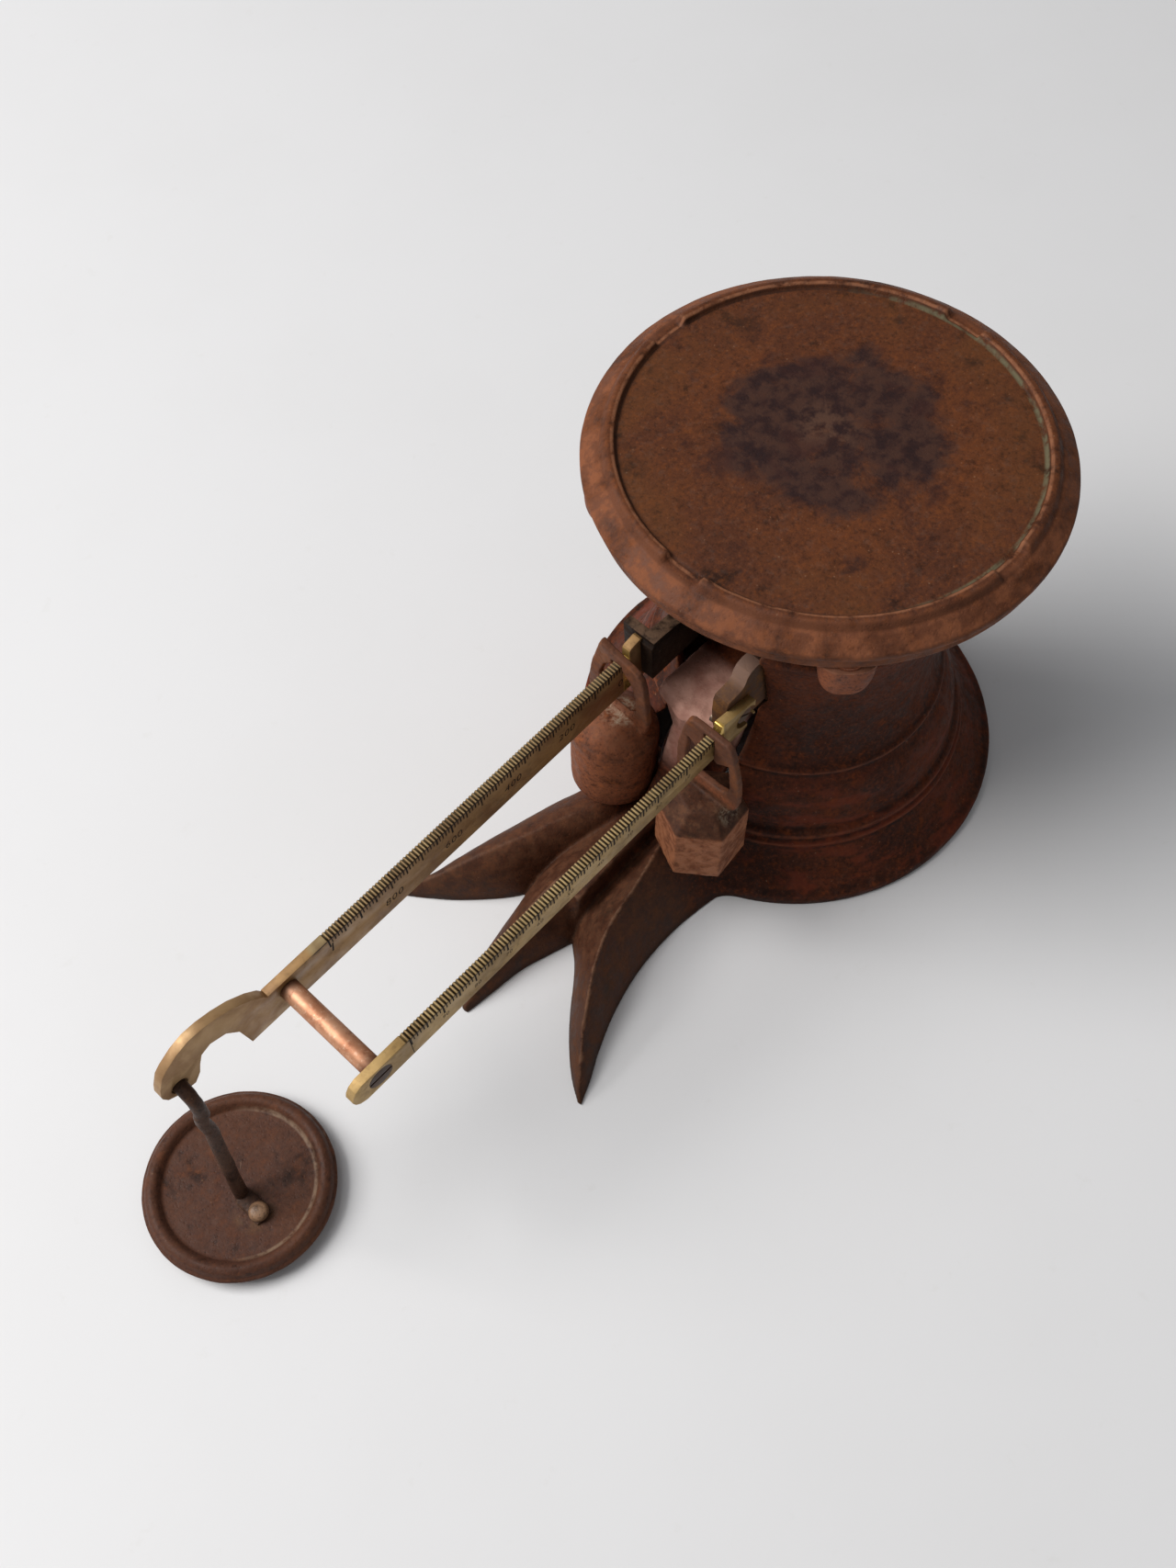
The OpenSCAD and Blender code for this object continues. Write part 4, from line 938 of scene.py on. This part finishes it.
ax_, ay_, az_ = grid((-160, 6, 50), (-96, 66, 186), hp)
Xg, Yg, Zg = np.meshgrid(ax_, ay_, az_, indexing="ij")
lr = np.hypot(Xg + 128.6, Yg - BY)
ltab = spline([[0, 54], [22.5, 54], [24.6, 54.7], [26.2, 56.4], [26.7, 59], [26.8, 70], [26.7, 90], [26.6, 103], [26.3, 106.4], [25.2, 108.4], [23.6, 109.6],
               [20.5, 112.8], [17, 116.2], [13.5, 118.2], [9, 119.4], [0, 119.6]], 3)
rr_ = np.arange(0, 60, 0.4)
RR, ZZ_ = np.meshgrid(rr_, az_, indexing="ij")
tab_ = poly_sdf(RR, ZZ_, [tuple(p) for p in ltab] + [(0, 54)])
body = np.empty_like(Xg)
for k in range(len(az_)):
    body[:, :, k] = np.interp(lr[:, :, k], rr_, tab_[:, k])
FL = smin(body, loop_field(Xg, Yg, Zg, LX + 0.4, BY, LZ, OUT_L, WIN_L, 4.6), 2.2)
lp = cast("left_poise_weight", FL, (ax_[0], ay_[0], az_[0]), hp, rough=((0.18, 13), (0.13, 4.5), (0.08, 2.0)), keep=0.5)
finish_piece(lp, M_LP, "left_weight", "left_poise")

ax_, ay_, az_ = grid((-160, -67, 49), (-96, -5, 180), hp)
Xg, Yg, Zg = np.meshgrid(ax_, ay_, az_, indexing="ij")
inr = 27.3 * math.cos(math.pi / 6)
pr_, tp_ = None, None
for j in range(6):
    an = math.radians(-173.7 + 30 + 60 * j)
    dn = (Xg + 129) * math.cos(an) + (Yg + BY) * math.sin(an)
    side_ = dn - inr
    hz = math.hypot(12.4, inr - 13.0)
    tap = ((dn - inr) * 12.4 + (Zg - 96.6) * (inr - 13.0)) / hz
    pr_ = side_ if pr_ is None else smax(pr_, side_, 0.5)
    tp_ = tap if tp_ is None else smax(tp_, tap, 0.9)
hexa = smax(smax(smax(pr_, tp_, 0.6), Zg - 109, 1.2), 52.4 - Zg, 0.8)
FR = smin(hexa, loop_field(Xg, Yg, Zg, RX, -BY, RZ, OUT_R, WIN_R, 4.6), 2.4)
rp = cast("right_poise_weight", FR, (ax_[0], ay_[0], az_[0]), hp, rough=((0.18, 13), (0.13, 4.5), (0.09, 2.0)), keep=0.5)
finish_piece(rp, M_RP, "right_weight", "right_poise")

# ------------------------------------------------------------------ lever and beams
finish_piece(softened("main_lever", "lever_casting", 1.2, 3, 28), M_LEVER, "lever", "main_lever")
finish_piece(softened("left_beam", "left_beam_bar", 0.22, 2, 25), M_BRASS, "lever", "left_beam")
finish_piece(softened("right_beam", "right_beam_bar", 0.22, 2, 25), M_BRASS, "lever", "right_beam")
finish_piece(softened("spacer_rod", "beam_spacer", 0.3, 2, 25), M_COPPER, "lever", "spacer_rod")
finish_piece(softened("spacer_screws", "spacer_screw_pair", 0.25, 2, 25), M_SCREWB, "lever", "spacer_screws")


def pq(p, q):
    return XF + p * CT - q * ST, ZF + p * ST + q * CT


def marks(name, y_face, p0, pitch, count, lens, top, width=0.85):
    """Thin filled lines on a beam's face toward -Y: unit, five and ten marks."""
    V, Fc = [], []
    for i in range(count + 1):
        L = lens[2] if i % 10 == 0 else lens[1] if i % 5 == 0 else lens[0]
        w = width * (1.35 if i % 5 == 0 else 1.0) * (0.85 + 0.3 * ((i * 37) % 11) / 11)
        p = p0 - i * pitch
        q1 = top - L * (0.92 + 0.16 * ((i * 53) % 13) / 13)
        b = len(V)
        for yy_ in (y_face - 0.035, y_face + 0.25):
            for pp, qq in ((p - w / 2, q1), (p + w / 2, q1), (p + w / 2, top), (p - w / 2, top)):
                x_, z_ = pq(pp, qq)
                V.append((x_, yy_, z_))
        Fc += [tuple(b + t for t in tt) for tt in ((0, 1, 2, 3), (7, 6, 5, 4), (0, 4, 5, 1), (1, 5, 6, 2), (2, 6, 7, 3), (3, 7, 4, 0))]
    return build(name, V, Fc, smooth=False)


def numeral(text, name, p, q, size, y_face, slant=0.18, thick=0.0):
    """Digits on a beam's face toward -Y, read from left to right along +p."""
    cu = bpy.data.curves.new(name, "FONT")
    cu.body = text
    cu.size = size
    cu.align_x = "CENTER"
    cu.align_y = "CENTER"
    cu.extrude = 0.12
    cu.offset = thick
    cu.space_character = 1.15
    cu.shear = slant
    ob = link(bpy.data.objects.new(name, cu))
    bpy.context.view_layer.update()
    me = bpy.data.meshes.new_from_object(ob.evaluated_get(bpy.context.evaluated_depsgraph_get()))
    bpy.data.objects.remove(ob)
    n = len(me.vertices)
    co = np.empty(n * 3, np.float32)
    me.vertices.foreach_get("co", co)
    co = co.reshape(-1, 3)
    x_, z_ = pq(p + co[:, 0], q + co[:, 1])
    new = np.stack([x_, y_face - 0.035 + (0.12 - co[:, 2]), z_], 1) * 0.001
    me.vertices.foreach_set("co", new.astype(np.float32).ravel())
    me.update()
    return link(bpy.data.objects.new(name, me))


LF, RF = 32.7, -38.3
finish_piece(marks("left_beam_marks", LF, -105.4, 2.265, 100, (4.0, 5.8, 7.2), 9.6), M_INK, "lever")
finish_piece(marks("right_beam_marks", RF, -106.46, 2.336, 100, (4.0, 5.8, 7.4), 9.6), M_INK, "lever")
for t_, p_, q_, s_ in (("1", -331.6, 0.2, 11.5), ("800", -287.5, -6.7, 8.0), ("600", -242.2, -5.2, 8.0), ("400", -195.7, -4.6, 8.0), ("200", -152.5, -4.6, 8.0), ("0", -108, -5.5, 8.0)):
    finish_piece(numeral(t_, "left_beam_numeral_" + t_, p_, q_, s_, LF), M_INK, "lever")
for i_ in range(1, 10):
    finish_piece(numeral(str(i_ * 10), "right_beam_numeral_%d" % (i_ * 10), -106.46 - 23.36 * i_, -1.6, 4.6, RF, thick=-0.03), M_INK, "lever")
# long end line across the right beam's face
V_, F_ = [], []
for yy_ in (RF - 0.035, RF + 0.25):
    for pp, qq in ((-340.9, -9.4), (-340.45, -9.4), (-340.45, 10.4), (-340.9, 10.4)):
        x_, z_ = pq(pp, qq)
        V_.append((x_, yy_, z_))
F_ = [(0, 1, 2, 3), (7, 6, 5, 4), (0, 4, 5, 1), (1, 5, 6, 2), (2, 6, 7, 3), (3, 7, 4, 0)]
finish_piece(build("right_beam_end_line", V_, F_, smooth=False), M_INK, "lever")

# ------------------------------------------------------------------ counterpoise
disc_prof = spline([[0.4, 6.0], [30, 6.0], [50, 6.0], [53.2, 6.6], [55.2, 8.2], [56.0, 9.2], [55.9, 10.2], [55.2, 10.9], [54.4, 11.5], [53.8, 13.0], [52.5, 15.1], [50.0, 16.4], [47.4, 15.8],
                    [45.4, 13.8], [44.2, 12.4], [43.2, 12.05], [42, 12.0], [36, 12.0], [28, 12.0], [20, 12.0], [12, 12.0], [6, 12.0], [2, 12.0], [0.4, 12.0]], 4)


def disc_shape(R, Z, A):
    P = np.stack([R * np.cos(A), R * np.sin(A), Z], -1).reshape(-1, 3)
    lump = (0.16 * vnoise(P, 17, 0.3) + 0.10 * vnoise(P, 5, 1.0) + 0.05 * vnoise(P, 2.4, 5.0)).reshape(R.shape)
    return R + np.where(R > 50, lump, 0), Z + np.where(Z > 10.5, lump, 0)


disc = lathe("counterpoise_weight", disc_prof, 320, centre=(-458, 21), shape=disc_shape)
finish_piece(disc, M_DISC, "counterpoise", "counterpoise_disc")
EX, EZ = pq(-436, 4.5)
rod_path = spline([[EX + 0.2, 22.2, 12.4], [EX, 22, 20], [EX, 22, 50], [EX, 22, 84], [EX + 0.3, 21.8, 100], [EX - 1.2, 21.2, 110], [EX - 2.0, 20.8, 117], [EX - 0.6, 21.2, 124], [EX, 22, 131],
                   [EX, 24.6, 138.6], [EX, 29.5, EZ - 0.3], [EX, 35.5, EZ], [EX, 39.6, EZ + 0.2], [EX, 42.4, EZ + 1.2]], 8)
lean_ = np.clip((118 - rod_path[:, 2]) / 106, 0, 1) * (rod_path[:, 1] < 24)
rod_path[:, 0] -= 6.0 * lean_                # the rod hangs a little askew
rod_path[:, 1] -= 7.4 * lean_
SX, SY = EX - 6.0, -0.8
n_ = len(rod_path)
tt_ = np.linspace(0, 1, n_)
rad_ = 4.25 - 0.35 * np.sin(tt_ * math.pi * 0.9) + 0.5 * np.exp(-((tt_ - 0.52) / 0.03) ** 2) - 0.45 * np.exp(-((tt_ - 0.44) / 0.03) ** 2) - 0.9 * np.clip((tt_ - 0.97) / 0.03, 0, 1)
rod = tube("hanger_hook", rod_path, list(rad_), seg=32, wob=0.28)
finish_piece(rod, M_ROD, "counterpoise", "hanger_rod")
# flattened foot of the rod under the screw
foot_path = spline([[SX + 0.3, 18.0, 13.6], [SX + 0.2, 13.6, 13.9], [SX, 9.6, 13.6], [SX, 5.6, 13.3], [SX, SY, 13.2], [SX, -4.6, 13.1], [SX, -6.0, 13.0]], 5)
fr_ = np.linspace(0, 1, len(foot_path))
foot_r = [(5.6 * min(1, 0.62 + 1.6 * t) * (1 if t < 0.9 else 1 - (t - 0.9) * 5), max(1.0, 2.6 - 1.2 * t)) for t in fr_]
foot = tube("hanger_foot", foot_path, foot_r, seg=28, wob=0.3)
finish_piece(foot, M_ROD, "counterpoise")
# round slotted screw
scr = lathe("hanger_screw_head", spline([[0.3, 14.0], [5.2, 14.0], [5.8, 14.8], [5.7, 16.6], [4.6, 18.2], [2.6, 19.0], [0.3, 19.2]], 5), 48, centre=(SX, SY))
sl = build("cutter", [(SX + sx * 9 * 0.82 + sy * 0.75 * 0.57, SY + sx * 9 * 0.57 - sy * 0.75 * 0.82, z_) for z_ in (16.4, 21) for sx, sy in ((-1, -1), (1, -1), (1, 1), (-1, 1))],
           [(3, 2, 1, 0), (4, 5, 6, 7), (0, 1, 5, 4), (1, 2, 6, 5), (2, 3, 7, 6), (3, 0, 4, 7)], smooth=False)
bo = scr.modifiers.new("slot", "BOOLEAN")
bo.object = sl
bo.operation = "DIFFERENCE"
bo.solver = "EXACT"
applied(scr)
bpy.data.objects.remove(sl)
scr.data.set_sharp_from_angle(angle=math.radians(38))
finish_piece(scr, M_HEAD, "counterpoise", "hanger_screw")

# ------------------------------------------------------------------ CAD nodes that stay
STAY = dict(fulcrum_bearing_left=M_STEEL, fulcrum_bearing_right=M_STEEL, stop_bracket=M_DARK, stop_screws=M_SCREW, link_bracket=M_DARK,
            bracket_screws=M_SCREW, link_anchor_pin=M_STEEL, fulcrum_knife_left=M_STEEL, fulcrum_knife_right=M_STEEL, load_knife_left=M_STEEL,
            load_knife_right=M_STEEL, beam_screws=M_SCREW, platform_stem=M_DARK, stem_nut=M_SCREW, stem_pin=M_STEEL, load_bearing_left=M_STEEL,
            load_bearing_right=M_STEEL, check_link=M_DARK, left_poise_knife=M_STEEL, right_poise_knife=M_STEEL, left_poise_plug=M_LEAD, right_poise_plug=M_LEAD)
for name_, mat_ in STAY.items():
    o_ = NODES[name_]
    if not o_.data.materials:
        o_.data.materials.append(mat_.m)
    for s_ in range(len(o_.material_slots)):
        o_.material_slots[s_].material = mat_.m

# ------------------------------------------------------------------ floor and light
fm = Mat("pale_floor", "")
cf = fm.mix(fm.mul(fm.step(fm.noise(160, 5, 0.6), 0.4, 0.65), 0.25), (0.80, 0.80, 0.81), (0.755, 0.752, 0.755))
cf = fm.mix(fm.mul(fm.step(fm.noise(14, 5, 0.7), 0.62, 0.72), 0.18), cf, (0.70, 0.69, 0.67))
fm.done(cf, 0.5, fm.bump(fm.noise(5, 4, 0.6), 0.03), spec=0.35)
floor = build("floor", [(-4000, -4000, 0), (4000, -4000, 0), (4000, 4000, 0), (-4000, 4000, 0)], [(0, 1, 2, 3)], smooth=False)
floor.data.materials.append(fm.m)

world = bpy.data.worlds.new("studio")
bpy.context.scene.world = world
world.use_nodes = True
bg = world.node_tree.nodes["Background"]
bg.inputs[0].default_value = (0.965, 0.98, 1.0, 1)
bg.inputs[1].default_value = 0.22


def area(name, az, el, dist, size, power, color, target=(-0.12, 0, 0.12)):
    """Soft light at an azimuth (direction it comes from) and an elevation, pointed at the target."""
    li = bpy.data.lights.new(name, "AREA")
    li.shape = "RECTANGLE"
    li.size, li.size_y = size
    li.energy = power
    li.color = color
    ob = link(bpy.data.objects.new(name, li))
    d = Vector((math.cos(math.radians(el)) * math.cos(math.radians(az)), math.cos(math.radians(el)) * math.sin(math.radians(az)), math.sin(math.radians(el))))
    ob.location = Vector(target) + d * dist
    ob.rotation_euler = (-d).to_track_quat("-Z", "Y").to_euler()
    return ob


area("window", 136, 45, 4.2, (2.7, 2.5), 166, (1.0, 0.985, 0.965))
area("sky", 126, 66, 3.6, (2.2, 2.2), 26, (0.99, 0.99, 1.0))

bpy.context.scene.view_settings.view_transform = "Standard"
bpy.context.scene.view_settings.look = "None"
